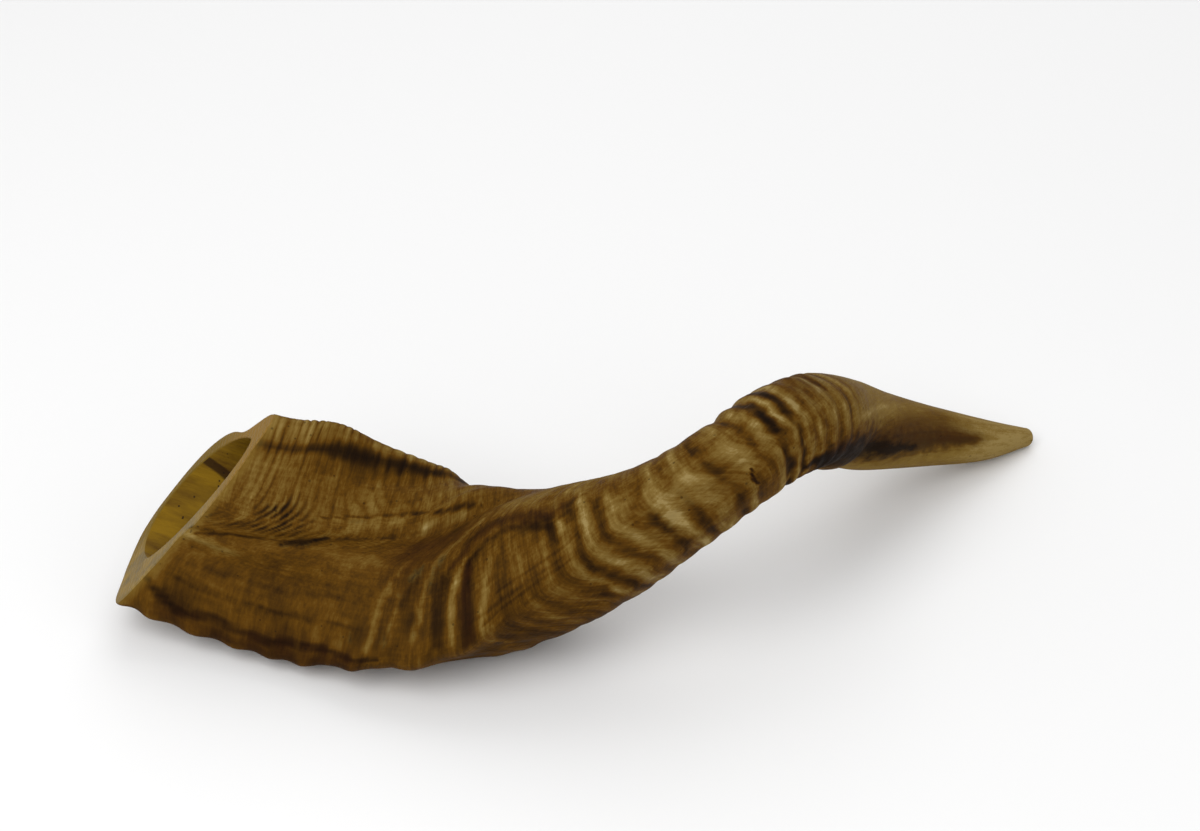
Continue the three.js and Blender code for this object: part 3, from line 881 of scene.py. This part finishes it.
@dataclass
class HornSheath:
    """The whole horn as one closed mesh: hollow, sawn rim, outer skin and tip."""

    form: HornForm
    painter: HornPainter
    around: int = 164
    base_rings: int = 230
    middle_rings: int = 250
    tail_rings: int = 80
    hollow_rings: int = 30
    tip_rings: int = 8
    edge_round: float = 0.35
    rim_shares: tuple[float, ...] = (0.04, 0.15, 0.35, 0.6, 0.8, 0.93, 0.98)

    BASE_END = 4
    MIDDLE_END = 10
    CROWDED = ((12, 1.7, 14), (172, 1.4, 12))

    def outer_places(self) -> Array:
        """Places of the outer rings: close together where the rings are finest."""
        base = np.linspace(0, self.BASE_END, self.base_rings, endpoint=False)
        middle = np.linspace(self.BASE_END, self.MIDDLE_END, self.middle_rings, endpoint=False)
        return np.concatenate([base, middle, np.linspace(self.MIDDLE_END, LAST, self.tail_rings)])

    def columns(self) -> Array:
        """Angles of the columns: close together at the brow valley and the keel, where the skin is steep."""
        degrees = np.arange(0, 360.25, 0.25)
        density = np.ones(degrees.shape)
        for angle, more, width in self.CROWDED:
            density = density + more * bump(wrap(degrees - angle), width)
        share = np.concatenate([[0], np.cumsum(0.5 * (density[1:] + density[:-1]))])
        return np.interp(np.arange(self.around) / self.around * share[-1], share, degrees)

    def build(self) -> tuple[bpy.types.Object, "Placing"]:
        """Makes the mesh with its attributes and sets it down in the frame.

        Returns:
            The object and how the layout was placed.
        """
        angles = self.columns()
        turns = np.radians(90 * np.arange(self.hollow_rings) / self.hollow_rings)[::-1]
        hollow = self.form.hollow(turns, angles)
        deepest = self.form.hollow(np.radians([90.0]), angles).points[0, 0]
        outer = self.form.outer(self.outer_places(), angles)
        tip, end = self.form.tip(angles, self.tip_rings)
        rim = self.rim_points(hollow.points[-1], outer.points[0])
        self.round_off(hollow.points[-1])
        self.round_off(outer.points[0])
        rows = [hollow.points, rim, outer.points, tip.points]
        points = np.vstack([deepest[None], *(r.reshape(-1, 3) for r in rows), end[None]])
        placing = Placing.onto(points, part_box("horn"))
        mesh = bpy.data.meshes.new("horn_sheath")
        faces, regions = self.faces(len(hollow.points), len(rim), sum(len(r) for r in rows))
        mesh.from_pydata(placing.to_frame(points).tolist(), [], faces)
        mesh.polygons.foreach_set("use_smooth", np.ones(len(faces), bool))
        blank = np.zeros(rim.shape[:2])
        rim_skin = Skin(rim, blank, np.broadcast_to(hollow.angle[:1], blank.shape), blank, blank)
        plain = [skin.place_values() for skin in (hollow, rim_skin)]
        self.write_attributes(mesh, regions, plain, [self.painter.values(skin) for skin in (outer, tip)])
        return add_object("horn_sheath", mesh), placing

    def rim_points(self, inner: Array, outer: Array) -> Array:
        """Rings across the sawn rim, from the hollow's edge to the outer edge."""
        shares = np.array(self.rim_shares)[:, None, None]
        return inner + (outer - inner) * shares

    def round_off(self, ring: Array) -> None:
        """Draws an edge of the cut back a little, so that it isn't knife sharp."""
        ring -= self.form.cut_normal * self.edge_round

    def faces(self, hollow: int, rim: int, rows: int) -> tuple[list[tuple[int, ...]], list[int]]:
        """Faces between neighbouring rings, with a fan at each end, and the region each belongs to.

        Args:
            hollow: number of rings in the hollow.
            rim: number of rings across the rim.
            rows: number of rings in all.

        Returns:
            The faces, and for each its region as an index into Region.
        """
        count = self.around
        last = 1 + rows * count
        turns = [(j, (j + 1) % count) for j in range(count)]
        faces = [(0, 1 + after, 1 + j) for j, after in turns]
        regions = [Region.HOLLOW.value] * count
        for i in range(rows - 1):
            region = Region.HOLLOW if i < hollow - 1 else Region.RIM if i < hollow + rim else Region.SKIN
            start, above = 1 + i * count, 1 + (i + 1) * count
            faces += [(start + j, start + after, above + after, above + j) for j, after in turns]
            regions += [region.value] * count
        faces += [(last - count + j, last - count + after, last) for j, after in turns]
        regions += [Region.SKIN.value] * count
        return faces, regions

    def write_attributes(
        self, mesh: bpy.types.Mesh, regions: list[int], plain: list[dict], painted: list[dict]
    ) -> None:
        """Stores where each point lies on the horn and its colour values.

        Args:
            mesh: the mesh, which has one point at each end besides those of the skins.
            regions: the region of each face.
            plain: the values of the hollow and the rim, which have no rings and no paint.
            painted: the values of the outer skin and the tip.
        """
        for name in painted[0]:
            rows = [table.get(name, np.zeros(table["along"].shape)) for table in plain]
            rows += [table[name] for table in painted]
            flat = np.concatenate([row.reshape(-1) for row in rows])
            whole = np.concatenate([flat[:1], flat, flat[-1:]]).astype(np.float32)
            mesh.attributes.new(name, "FLOAT", "POINT").data.foreach_set("value", whole)
        mesh.attributes.new("region", "INT", "FACE").data.foreach_set("value", np.array(regions, np.int32))


class Region(Enum):
    """The three kinds of surface that the horn shows."""

    SKIN = 0
    RIM = 1
    HOLLOW = 2


@dataclass(frozen=True)
class Placing:
    """How the layout is rolled onto its resting places and set down in the frame."""

    shift: Triple

    ROLL_X = 53.9
    TURN_Z = 0.9

    @classmethod
    def rotation(cls) -> Array:
        """The turn from the layout to the frame."""
        roll = Matrix.Rotation(math.radians(cls.ROLL_X), 3, "X")
        turn = Matrix.Rotation(math.radians(cls.TURN_Z), 3, "Z")
        return np.array(roll @ turn)

    @classmethod
    def onto(cls, points: Array, box: tuple[Vector, Vector]) -> "Placing":
        """Finds the shift that brings the points onto a box's footprint and floor.

        Args:
            points: the layout's points, in millimetres.
            box: the lowest and highest corners to match, in metres.

        Returns:
            The placing.
        """
        turned = points @ cls.rotation().T * MM
        low, high = turned.min(0), turned.max(0)
        goal_low, goal_high = np.array(box[0]), np.array(box[1])
        shift = 0.5 * (goal_low + goal_high) - 0.5 * (low + high)
        shift[2] = goal_low[2] - low[2]
        return cls(tuple(shift))

    def to_frame(self, points: Array) -> Array:
        """Layout millimetres to frame metres."""
        return points @ self.rotation().T * MM + np.array(self.shift)


class Wiring:
    """Adds nodes to one tree and joins them, with the sums that shaders and geometry share."""

    def __init__(self, tree: bpy.types.NodeTree) -> None:
        """Starts with an empty tree."""
        self.tree = tree
        tree.nodes.clear()

    def node(self, kind: str, inputs: dict | None = None, **settings: object) -> bpy.types.Node:
        """Adds a node.

        Args:
            kind: the node's type name.
            inputs: socket name or index to a plain value or to a socket that is linked in.
            settings: the node's own properties.

        Returns:
            The node.
        """
        made = self.tree.nodes.new(kind)
        for name, value in settings.items():
            setattr(made, name, value)
        for name, value in (inputs or {}).items():
            self.put(made.inputs[name], value)
        return made

    def put(self, socket: bpy.types.NodeSocket, value: object) -> None:
        """Links a socket in, or sets a plain value."""
        if isinstance(value, Socket):
            self.tree.links.new(value, socket)
        else:
            socket.default_value = value

    def math(self, operation: str, a: object, b: object = 0.0, clamp: bool = False) -> Socket:
        """One sum of two numbers."""
        return self.node("ShaderNodeMath", {0: a, 1: b}, operation=operation, use_clamp=clamp).outputs[0]

    def times(self, a: object, b: object) -> Socket:
        """One number times another."""
        return self.math("MULTIPLY", a, b)

    def plus(self, a: object, b: object) -> Socket:
        """One number and another."""
        return self.math("ADD", a, b)

    def minus(self, a: object, b: object) -> Socket:
        """One number less another."""
        return self.math("SUBTRACT", a, b)

    def centred(self, value: object) -> Socket:
        """A value from 0 to 1 brought to lie about zero."""
        return self.minus(value, 0.5)


class ShaderWiring(Wiring):
    """Wiring with what only the shaders use."""

    BETWEEN = 0.5

    def placed(self, tree: bpy.types.NodeTree, inputs: dict) -> Socket:
        """A shader group with its inputs filled in, and its value."""
        return self.node("ShaderNodeGroup", inputs, node_tree=tree).outputs[0]

    def attribute(self, name: str) -> Socket:
        """One of the piece's own values."""
        return self.node("ShaderNodeAttribute", attribute_name=name).outputs["Fac"]

    def coordinates(self, x: object, y: object, z: object) -> Socket:
        """Three numbers as a vector."""
        return self.node("ShaderNodeCombineXYZ", {0: x, 1: y, 2: z}).outputs[0]

    def blend(self, share: object, first: object, second: object, mode: str = "MIX") -> Socket:
        """Two colours mixed by a share."""
        mixed = self.node("ShaderNodeMix", data_type="RGBA", blend_type=mode)
        self.put(mixed.inputs[0], share)
        self.put(mixed.inputs[6], first)
        self.put(mixed.inputs[7], second)
        return mixed.outputs[2]

    def ramp(self, value: object, stops: tuple[tuple[float, tuple], ...]) -> Socket:
        """A run of colours over a value."""
        made = self.node("ShaderNodeValToRGB", {0: value})
        elements = made.color_ramp.elements
        while len(elements) < len(stops):
            elements.new(self.BETWEEN)
        for element, (position, colour) in zip(elements, stops):
            element.position = position
            element.color = colour
        return made.outputs[0]

    def span(
        self, value: object, low: float, high: float, to_low: float = 0.0, to_high: float = 1.0
    ) -> Socket:
        """A value brought from one range to another, and kept inside it."""
        numbers = {0: value, 1: low, 2: high, 3: to_low, 4: to_high}
        return self.node("ShaderNodeMapRange", numbers, clamp=True).outputs[0]


def shade(red: float, green: float, blue: float) -> tuple[float, float, float, float]:
    """A colour given as it looks on a screen, 0 to 255, turned into the light it stands for."""
    levels = [c / 255 for c in (red, green, blue)]
    linear = [c / 12.92 if c <= 0.04045 else ((c + 0.055) / 1.055) ** 2.4 for c in levels]
    return (*linear, 1.0)


def add_object(name: str, data: bpy.types.ID) -> bpy.types.Object:
    """Puts a mesh, a lamp or a camera into the scene."""
    made = bpy.data.objects.new(name, data)
    bpy.context.scene.collection.objects.link(made)
    return made


def new_group(name: str, inputs: dict[str, float | None]) -> ShaderWiring:
    """An empty shader group with named sockets and one number out, called Value.

    Args:
        name: the group's name.
        inputs: socket name to its first value, or to None for a vector.

    Returns:
        The wiring of the group's tree.
    """
    tree = bpy.data.node_groups.new(name, "ShaderNodeTree")
    for label, value in inputs.items():
        kind = "NodeSocketVector" if value is None else "NodeSocketFloat"
        socket = tree.interface.new_socket(label, in_out="INPUT", socket_type=kind)
        if value is not None:
            socket.default_value = value
    tree.interface.new_socket("Value", in_out="OUTPUT", socket_type="NodeSocketFloat")
    return ShaderWiring(tree)


def streak_group() -> bpy.types.NodeTree:
    """Streaks that are long one way and fine the other, from 0 to 1."""
    inputs = {
        "Lengthwise": 0.0,
        "Round X": 0.0,
        "Round Y": 0.0,
        "Fine Lengthwise": 1.0,
        "Fine Round": 1.0,
        "Contrast": 1.0,
    }
    wiring = new_group("horn_streaks", inputs)
    given = wiring.node("NodeGroupInput").outputs
    x = wiring.times(given["Lengthwise"], given["Fine Lengthwise"])
    y = wiring.times(given["Round X"], given["Fine Round"])
    z = wiring.times(given["Round Y"], given["Fine Round"])
    values = {"Vector": wiring.coordinates(x, y, z), "Scale": 1.0, "Detail": 4.0, "Roughness": 0.6}
    noise = wiring.node("ShaderNodeTexNoise", values).outputs[0]
    spread = wiring.times(wiring.centred(noise), given["Contrast"])
    wiring.node("NodeGroupOutput", {"Value": wiring.math("ADD", spread, 0.5, clamp=True)})
    return wiring.tree


def pit_group() -> bpy.types.NodeTree:
    """Small scattered pits and specks, 1 in a pit and 0 elsewhere."""
    wiring = new_group("horn_pits", {"Coordinates": None, "Scale": 400.0, "Size": 0.2, "Share": 0.3})
    given = wiring.node("NodeGroupInput").outputs
    cells = wiring.node("ShaderNodeTexVoronoi", {"Vector": given["Coordinates"], "Scale": given["Scale"]})
    near = wiring.math("LESS_THAN", cells.outputs["Distance"], given["Size"])
    chosen = wiring.node("ShaderNodeSeparateColor", {0: cells.outputs["Color"]}).outputs[0]
    kept = wiring.math("LESS_THAN", chosen, given["Share"])
    wiring.node("NodeGroupOutput", {"Value": wiring.times(near, kept)})
    return wiring.tree


def new_material(name: str) -> tuple[bpy.types.Material, ShaderWiring]:
    """A material with an empty node tree."""
    material = bpy.data.materials.new(name)
    material.use_nodes = True
    return material, ShaderWiring(material.node_tree)


@dataclass(frozen=True)
class Streaks:
    """Streaks in a finish: what they run along, how fine they are along and round, and their contrast."""

    follows: str
    fine_along: float
    fine_round: float
    contrast: float


@dataclass(frozen=True)
class Pits:
    """Scattered pits in a finish: cells to a metre, a pit's size in its cell, and the share that have one.

    The strength is that of the pits' colour.
    """

    scale: float
    size: float
    share: float
    strength: float
    colour: Triple


@dataclass(frozen=True)
class Groups:
    """The effects that the finishes share."""

    streaks: bpy.types.NodeTree
    pits: bpy.types.NodeTree

    def streak(self, wiring: ShaderWiring, streaks: Streaks) -> Socket:
        """Places the streak group in a material."""
        inputs = {
            "Lengthwise": wiring.attribute(streaks.follows),
            "Round X": wiring.attribute("round_x"),
            "Round Y": wiring.attribute("round_y"),
            "Fine Lengthwise": streaks.fine_along,
            "Fine Round": streaks.fine_round,
            "Contrast": streaks.contrast,
        }
        return wiring.placed(self.streaks, inputs)

    def pit(self, wiring: ShaderWiring, pits: Pits, colour: Socket) -> tuple[Socket, Socket]:
        """Places the pit group in a material: where the pits are, and a colour with the pits in it."""
        place = wiring.node("ShaderNodeTexCoord").outputs["Object"]
        inputs = {"Coordinates": place, "Scale": pits.scale, "Size": pits.size, "Share": pits.share}
        value = wiring.placed(self.pits, inputs)
        return value, wiring.blend(wiring.times(value, pits.strength), colour, shade(*pits.colour))


@dataclass(frozen=True)
class Stain:
    """A stained area: its mark, colour and strength, how far noise moves its edge, and its range."""

    mark: Paint
    colour: Triple
    strength: float
    bite: float
    low: float
    high: float

    EDGE = 0.3

    def over(self, wiring: ShaderWiring, colour: Socket, noise: Socket) -> Socket:
        """Lays the stain over a colour, with its edge broken up by noise from 0 to 1."""
        amount = wiring.attribute(self.mark.value)
        shift = wiring.times(wiring.centred(noise), self.bite)
        moved = wiring.plus(amount, wiring.times(shift, wiring.span(amount, 0.0, self.EDGE)))
        shown = wiring.span(moved, self.low, self.high)
        return wiring.blend(wiring.times(shown, self.strength), colour, shade(*self.colour))


@dataclass(frozen=True)
class Finish:
    """What every finish has: a name, a roughness, its bump's depth in metres and its plain reflection."""

    name: str
    roughness: float
    depth: float
    specular: float

    def look(self, wiring: ShaderWiring, groups: Groups) -> tuple[Socket, object, Socket]:
        """Colour, roughness and the height that the bump reads."""
        raise NotImplementedError

    def material(self, groups: Groups) -> bpy.types.Material:
        """Makes the material."""
        material, wiring = new_material(self.name)
        colour, roughness, height = self.look(wiring, groups)
        relief = wiring.node("ShaderNodeBump", {"Height": height, "Distance": self.depth, "Strength": 1.0})
        inputs = {
            "Base Color": colour,
            "Roughness": roughness,
            "Normal": relief.outputs[0],
            "Specular IOR Level": self.specular,
        }
        surface = wiring.node("ShaderNodeBsdfPrincipled", inputs)
        wiring.node("ShaderNodeOutputMaterial", {0: surface.outputs[0]})
        return material


@dataclass(frozen=True)
class SheathFinish(Finish):
    """The outer skin: ringed and streaked horn, with dark stains in its furrows."""

    name: str = "horn_skin"
    roughness: float = 0.5
    depth: float = 0.0003
    specular: float = 0.015
    tones: tuple[tuple[float, Triple], ...] = (
        (0.0, (18, 11, 5)),
        (0.2, (34, 20, 7)),
        (0.38, (52, 33, 9)),
        (0.52, (72, 47, 11)),
        (0.62, (88, 58, 13)),
        (0.75, (105, 79, 31)),
        (0.88, (124, 100, 50)),
        (1.0, (148, 127, 78)),
    )
    bare: Triple = (122, 96, 38)
    red_brown: Stain = Stain(Paint.WARM, (54, 28, 11), 0.75, 0.5, 0.0, 1.0)
    blue_black: Stain = Stain(Paint.STAIN, (20, 13, 8), 0.88, 0.7, 0.05, 0.9)
    specks: Pits = Pits(420.0, 0.16, 0.1, 0.45, (28, 18, 10))
    across: Streaks = Streaks("growth", 1.1, 0.09, 1.8)
    fibre: Streaks = Streaks("along", 0.08, 1.1, 1.7)
    mottle: Streaks = Streaks("along", 0.22, 0.22, 1.6)
    grain: Streaks = Streaks("growth", 1.4, 0.9, 1.8)
    across_tone: float = 0.2
    fibre_tone: float = 0.12
    mottle_tone: float = 0.26
    grain_tone: float = 0.16
    smoother: float = 0.06
    rougher: float = 0.12
    ring_relief: float = 0.6
    fibre_relief: float = 0.3
    speck_relief: float = 0.5

    def look(self, wiring: ShaderWiring, groups: Groups) -> tuple[Socket, object, Socket]:
        """Streaks in the lightness, and over it bare horn, red-brown and blue-black stains and specks."""
        streaks = (self.across, self.fibre, self.mottle, self.grain)
        across, fibre, mottle, grain = (groups.streak(wiring, each) for each in streaks)
        tone, lines = wiring.attribute("tone"), wiring.attribute("lines")
        crosswise = wiring.times(lines, self.across_tone)
        strengths = (crosswise, self.fibre_tone, self.mottle_tone, self.grain_tone)
        for value, strength in zip((across, fibre, mottle, grain), strengths):
            tone = wiring.plus(tone, wiring.times(wiring.centred(value), strength))
        colour = wiring.ramp(tone, tuple((position, shade(*colour)) for position, colour in self.tones))
        colour = wiring.blend(wiring.attribute(Paint.PALE.value), colour, shade(*self.bare))
        colour = self.red_brown.over(wiring, colour, mottle)
        colour = self.blue_black.over(wiring, colour, grain)
        specks, colour = groups.pit(wiring, self.specks, colour)
        rough = wiring.span(mottle, 0.2, 0.8, self.roughness - self.smoother, self.roughness + self.rougher)
        ringed = wiring.times(across, wiring.times(lines, self.ring_relief))
        height = wiring.plus(ringed, wiring.times(fibre, self.fibre_relief))
        return colour, rough, wiring.minus(height, wiring.times(specks, self.speck_relief))


@dataclass(frozen=True)
class RimFinish(Finish):
    """The sawn rim: pale, dry horn with fine saw marks, tan towards the brow, olive on the far side."""

    name: str = "horn_rim"
    roughness: float = 0.62
    depth: float = 0.00015
    specular: float = 0.06
    grey: Triple = (116, 100, 68)
    cream: Triple = (144, 118, 62)
    tan: Triple = (132, 100, 42)
    olive: Triple = (110, 86, 22)
    brow_span: Span = (-4.0, 18.0)
    far_span: Span = (-6.0, -16.0)
    tint: float = 0.85
    cloud_scale: float = 130.0
    cloud_relief: float = 0.4
    saw_scale: float = 260.0

    def look(self, wiring: ShaderWiring, groups: Groups) -> tuple[Socket, object, Socket]:
        """Clouds of grey and cream, tinted towards two sides, with the saw's marks as relief."""
        place = wiring.node("ShaderNodeTexCoord").outputs["Object"]
        values = {"Vector": place, "Scale": self.cloud_scale, "Detail": 4.0, "Roughness": 0.6}
        cloud = wiring.span(wiring.node("ShaderNodeTexNoise", values).outputs[0], 0.35, 0.65)
        colour = wiring.blend(cloud, shade(*self.grey), shade(*self.cream))
        toward_brow = wiring.span(wiring.attribute("round_x"), *self.brow_span, 0.0, self.tint)
        colour = wiring.blend(toward_brow, colour, shade(*self.tan))
        toward_far = wiring.span(wiring.attribute("round_y"), *self.far_span, 0.0, self.tint)
        colour = wiring.blend(toward_far, colour, shade(*self.olive))
        values = {"Vector": place, "Scale": self.saw_scale, "Distortion": 1.5, "Detail": 2.0}
        saw = wiring.node("ShaderNodeTexWave", values).outputs["Fac"]
        return colour, self.roughness, wiring.plus(saw, wiring.times(cloud, self.cloud_relief))


@dataclass(frozen=True)
class HollowFinish(Finish):
    """The wall of the hollow: yellow-olive, pitted, with darker runs."""

    name: str = "horn_hollow"
    roughness: float = 0.58
    depth: float = 0.0005
    specular: float = 0.05
    olive: Triple = (128, 97, 17)
    dark: Triple = (72, 46, 9)
    stripe_brown: Triple = (40, 22, 7)
    stripe_angle: float = 291.0
    stripe_turn: float = -0.9
    stripe_half: float = 4.4
    stripe_fray: float = 2.0
    stripe_strength: float = 0.85
    run: Streaks = Streaks("along", 0.04, 0.16, 1.6)
    fine: Streaks = Streaks("along", 0.1, 0.8, 1.4)
    pits: Pits = Pits(620.0, 0.22, 0.14, 0.8, (30, 20, 12))
    run_strength: float = 0.8
    fine_relief: float = 0.4

    def look(self, wiring: ShaderWiring, groups: Groups) -> tuple[Socket, object, Socket]:
        """Olive with dark runs, one dark stripe and pits."""
        run, fine = groups.streak(wiring, self.run), groups.streak(wiring, self.fine)
        dim = wiring.span(run, 0.35, 0.75, 0.0, self.run_strength)
        colour = wiring.blend(dim, shade(*self.olive), shade(*self.dark))
        colour = wiring.blend(self.stripe(wiring, fine), colour, shade(*self.stripe_brown))
        pits, colour = groups.pit(wiring, self.pits, colour)
        return colour, self.roughness, wiring.minus(wiring.times(fine, self.fine_relief), pits)

    def stripe(self, wiring: ShaderWiring, noise: Socket) -> Socket:
        """One dark stripe that runs inwards along the far wall, ragged at its edges."""
        around = wiring.math("ARCTAN2", wiring.attribute("round_y"), wiring.attribute("round_x"))
        degrees = wiring.plus(wiring.times(around, 180 / math.pi), 360.0)
        middle = wiring.times(wiring.attribute("along"), self.stripe_turn)
        away = wiring.minus(degrees, wiring.plus(middle, self.stripe_angle))
        away = wiring.plus(wiring.math("ABSOLUTE", away), wiring.times(noise, self.stripe_fray))
        edge = (self.stripe_half + self.stripe_fray, self.stripe_half)
        return wiring.span(away, *edge, 0.0, self.stripe_strength)


@dataclass
class GrowthRings:
    """Geometry Nodes that raise the fine growth rings and a low grain, and give each region its finish."""

    ring_scale: float = 1.0
    roundness: float = 0.6
    grain_height: float = 0.00012
    grain_scale: float = 180.0
    seed: float = 3.0

    RING_MIDDLE = 0.66

    def numbers(self) -> dict[str, float]:
        """The tree's numbers, by the names of its inputs."""
        return {
            "Ring Scale": self.ring_scale,
            "Roundness": self.roundness,
            "Grain Height": self.grain_height,
            "Grain Scale": self.grain_scale,
            "Seed": self.seed,
        }

    def tree(self) -> bpy.types.NodeTree:
        """Builds the node tree."""
        tree = bpy.data.node_groups.new("growth_rings", "GeometryNodeTree")
        kinds = {"Geometry": "NodeSocketGeometry"}
        kinds.update({name: "NodeSocketFloat" for name in self.numbers()})
        kinds.update({region.name.title(): "NodeSocketMaterial" for region in Region})
        for name, kind in kinds.items():
            tree.interface.new_socket(name, in_out="INPUT", socket_type=kind)
        tree.interface.new_socket("Geometry", in_out="OUTPUT", socket_type="NodeSocketGeometry")
        wiring = Wiring(tree)
        given = wiring.node("NodeGroupInput").outputs
        height = wiring.plus(self.ring_part(wiring, given), self.grain_part(wiring, given))
        normal = wiring.node("GeometryNodeInputNormal").outputs[0]
        offset = wiring.node("ShaderNodeVectorMath", {0: normal}, operation="SCALE")
        wiring.put(offset.inputs["Scale"], height)
        values = {"Geometry": given["Geometry"], "Offset": offset.outputs[0]}
        moved = wiring.node("GeometryNodeSetPosition", values)
        shown = self.dressed(wiring, given, moved.outputs[0])
        real = wiring.node("GeometryNodeRealizeInstances", {0: shown})
        wiring.node("NodeGroupOutput", {0: real.outputs[0]})
        return tree

    def stored(self, wiring: Wiring, name: str, kind: str = "FLOAT") -> Socket:
        """One of the mesh's own values."""
        return wiring.node("GeometryNodeInputNamedAttribute", {"Name": name}, data_type=kind).outputs[0]

    def ring_part(self, wiring: Wiring, given: bpy.types.NodeOutputs) -> Socket:
        """Rounded rings with narrow furrows between them."""
        part = wiring.math("FRACT", self.stored(wiring, "ring_phase"))
        arch = wiring.math("SINE", wiring.times(part, math.pi))
        ridge = wiring.math("POWER", wiring.math("MAXIMUM", arch, 0.0), given["Roundness"])
        tall = wiring.times(self.stored(wiring, "ring_height"), given["Ring Scale"])
        return wiring.times(wiring.minus(ridge, self.RING_MIDDLE), wiring.times(tall, MM))

    def grain_part(self, wiring: Wiring, given: bpy.types.NodeOutputs) -> Socket:
        """A low unevenness all over."""
        values = {"Scale": given["Grain Scale"], "W": given["Seed"], "Detail": 3.0}
        noise = wiring.node("ShaderNodeTexNoise", values, noise_dimensions="4D")
        return wiring.times(wiring.centred(noise.outputs[0]), given["Grain Height"])

    def dressed(self, wiring: Wiring, given: bpy.types.NodeOutputs, geometry: Socket) -> Socket:
        """Gives each region its own finish."""
        for region in Region:
            same = wiring.node("FunctionNodeCompare", data_type="INT", operation="EQUAL")
            wiring.put(same.inputs[2], self.stored(wiring, "region", "INT"))
            wiring.put(same.inputs[3], region.value)
            finish = given[region.name.title()]
            values = {"Geometry": geometry, "Selection": same.outputs[0], "Material": finish}
            geometry = wiring.node("GeometryNodeSetMaterial", values).outputs[0]
        return geometry

    def apply(self, piece: bpy.types.Object, materials: dict[Region, bpy.types.Material]) -> None:
        """Runs the tree on a piece and keeps the result as its plain mesh.

        Args:
            piece: the horn.
            materials: a finish for each region.
        """
        modifier = piece.modifiers.new("growth_rings", "NODES")
        modifier.node_group = self.tree()
        values = {**self.numbers(), **{region.name.title(): materials[region] for region in Region}}
        for item in modifier.node_group.interface.items_tree:
            if item.item_type == "SOCKET" and item.in_out == "INPUT" and item.name in values:
                modifier[item.identifier] = values[item.name]
        graph = bpy.context.evaluated_depsgraph_get()
        evaluated = piece.evaluated_get(graph)
        result = bpy.data.meshes.new_from_object(evaluated, preserve_all_data_layers=True, depsgraph=graph)
        piece.modifiers.clear()
        old = piece.data
        piece.data = result
        bpy.data.meshes.remove(old)
        result.name = piece.name


@dataclass(frozen=True)
class SoftLight:
    """A large, soft lamp aimed at the horn, placed by its azimuth, elevation and distance in metres."""

    name: str
    azimuth: float
    elevation: float
    distance: float
    size: float
    power: float

    def place(self) -> None:
        """Adds the lamp."""
        data = bpy.data.lights.new(self.name, "AREA")
        data.size = self.size
        data.energy = self.power
        lamp = add_object(self.name, data)
        turn, rise = math.radians(self.azimuth), math.radians(self.elevation)
        flat = self.distance * math.cos(rise)
        lamp.location = (flat * math.sin(turn), -flat * math.cos(turn), self.distance * math.sin(rise))
        lamp.rotation_euler = (-lamp.location).to_track_quat("-Z", "Y").to_euler()


@dataclass
class Studio:
    """A pale floor, soft light and the camera."""

    lens: float = 75.0
    camera_distance: float = 765.0
    floor_half: float = 3.0
    floor_grey: float = 0.86
    floor_roughness: float = 0.9
    sky: float = 0.54
    lights: tuple[SoftLight, ...] = (
        SoftLight("key", -35, 52, 1.4, 1.1, 11.5),
        SoftLight("fill", 50, 30, 1.6, 1.2, 3.6),
        SoftLight("back", 170, 50, 1.5, 1.2, 5.8),
    )

    def build(self, placing: Placing) -> None:
        """Adds the floor, the lights and the camera."""
        self.floor()
        self.world()
        for light in self.lights:
            light.place()
        self.camera(placing)

    def floor(self) -> None:
        """A plain pale floor just under the horn."""
        half = self.floor_half
        around = [(-half, -half, 0), (half, -half, 0), (half, half, 0), (-half, half, 0)]
        mesh = bpy.data.meshes.new("floor")
        mesh.from_pydata(around, [], [(0, 1, 2, 3)])
        floor = add_object("floor", mesh)
        material, wiring = new_material("floor_paper")
        grey = (self.floor_grey,) * 3 + (1.0,)
        values = {"Base Color": grey, "Roughness": self.floor_roughness}
        surface = wiring.node("ShaderNodeBsdfPrincipled", values)
        wiring.node("ShaderNodeOutputMaterial", {0: surface.outputs[0]})
        mesh.materials.append(material)

    def world(self) -> None:
        """An even, soft sky."""
        world = bpy.data.worlds.new("studio")
        world.use_nodes = True
        wiring = Wiring(world.node_tree)
        sky = wiring.node("ShaderNodeBackground", {0: (1.0, 1.0, 1.0, 1.0), 1: self.sky})
        wiring.node("ShaderNodeOutputWorld", {0: sky.outputs[0]})
        bpy.context.scene.world = world

    def camera(self, placing: Placing) -> None:
        """The camera looks straight down the layout's near direction, as the photograph does."""
        data = bpy.data.cameras.new("camera")
        data.lens = self.lens
        camera = add_object("camera", data)
        place = placing.to_frame(np.array([[0.0, 0.0, self.camera_distance]]))[0]
        turn = Matrix(placing.rotation().tolist()).to_4x4()
        camera.matrix_world = Matrix.Translation(Vector(place)) @ turn
        bpy.context.scene.camera = camera
        bpy.context.scene.view_settings.view_transform = "Standard"


def main() -> None:
    """Builds the horn, its finishes and the studio, and reports each piece."""
    logging.basicConfig(level=logging.INFO, format="%(name)s: %(message)s")
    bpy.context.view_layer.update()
    groups = Groups(streak_group(), pit_group())
    materials = {
        Region.SKIN: SheathFinish().material(groups),
        Region.RIM: RimFinish().material(groups),
        Region.HOLLOW: HollowFinish().material(groups),
    }
    piece, placing = HornSheath(HornForm(), HornPainter()).build()
    GrowthRings().apply(piece, materials)
    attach(piece, "root")
    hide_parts("horn")
    LOG.info("%s: %d faces, %d materials", piece.name, len(piece.data.polygons), len(piece.data.materials))
    studio = Studio()
    studio.build(placing)
    LOG.info("studio: floor, %d lights and camera", len(studio.lights))


if __name__ == "__main__":
    main()
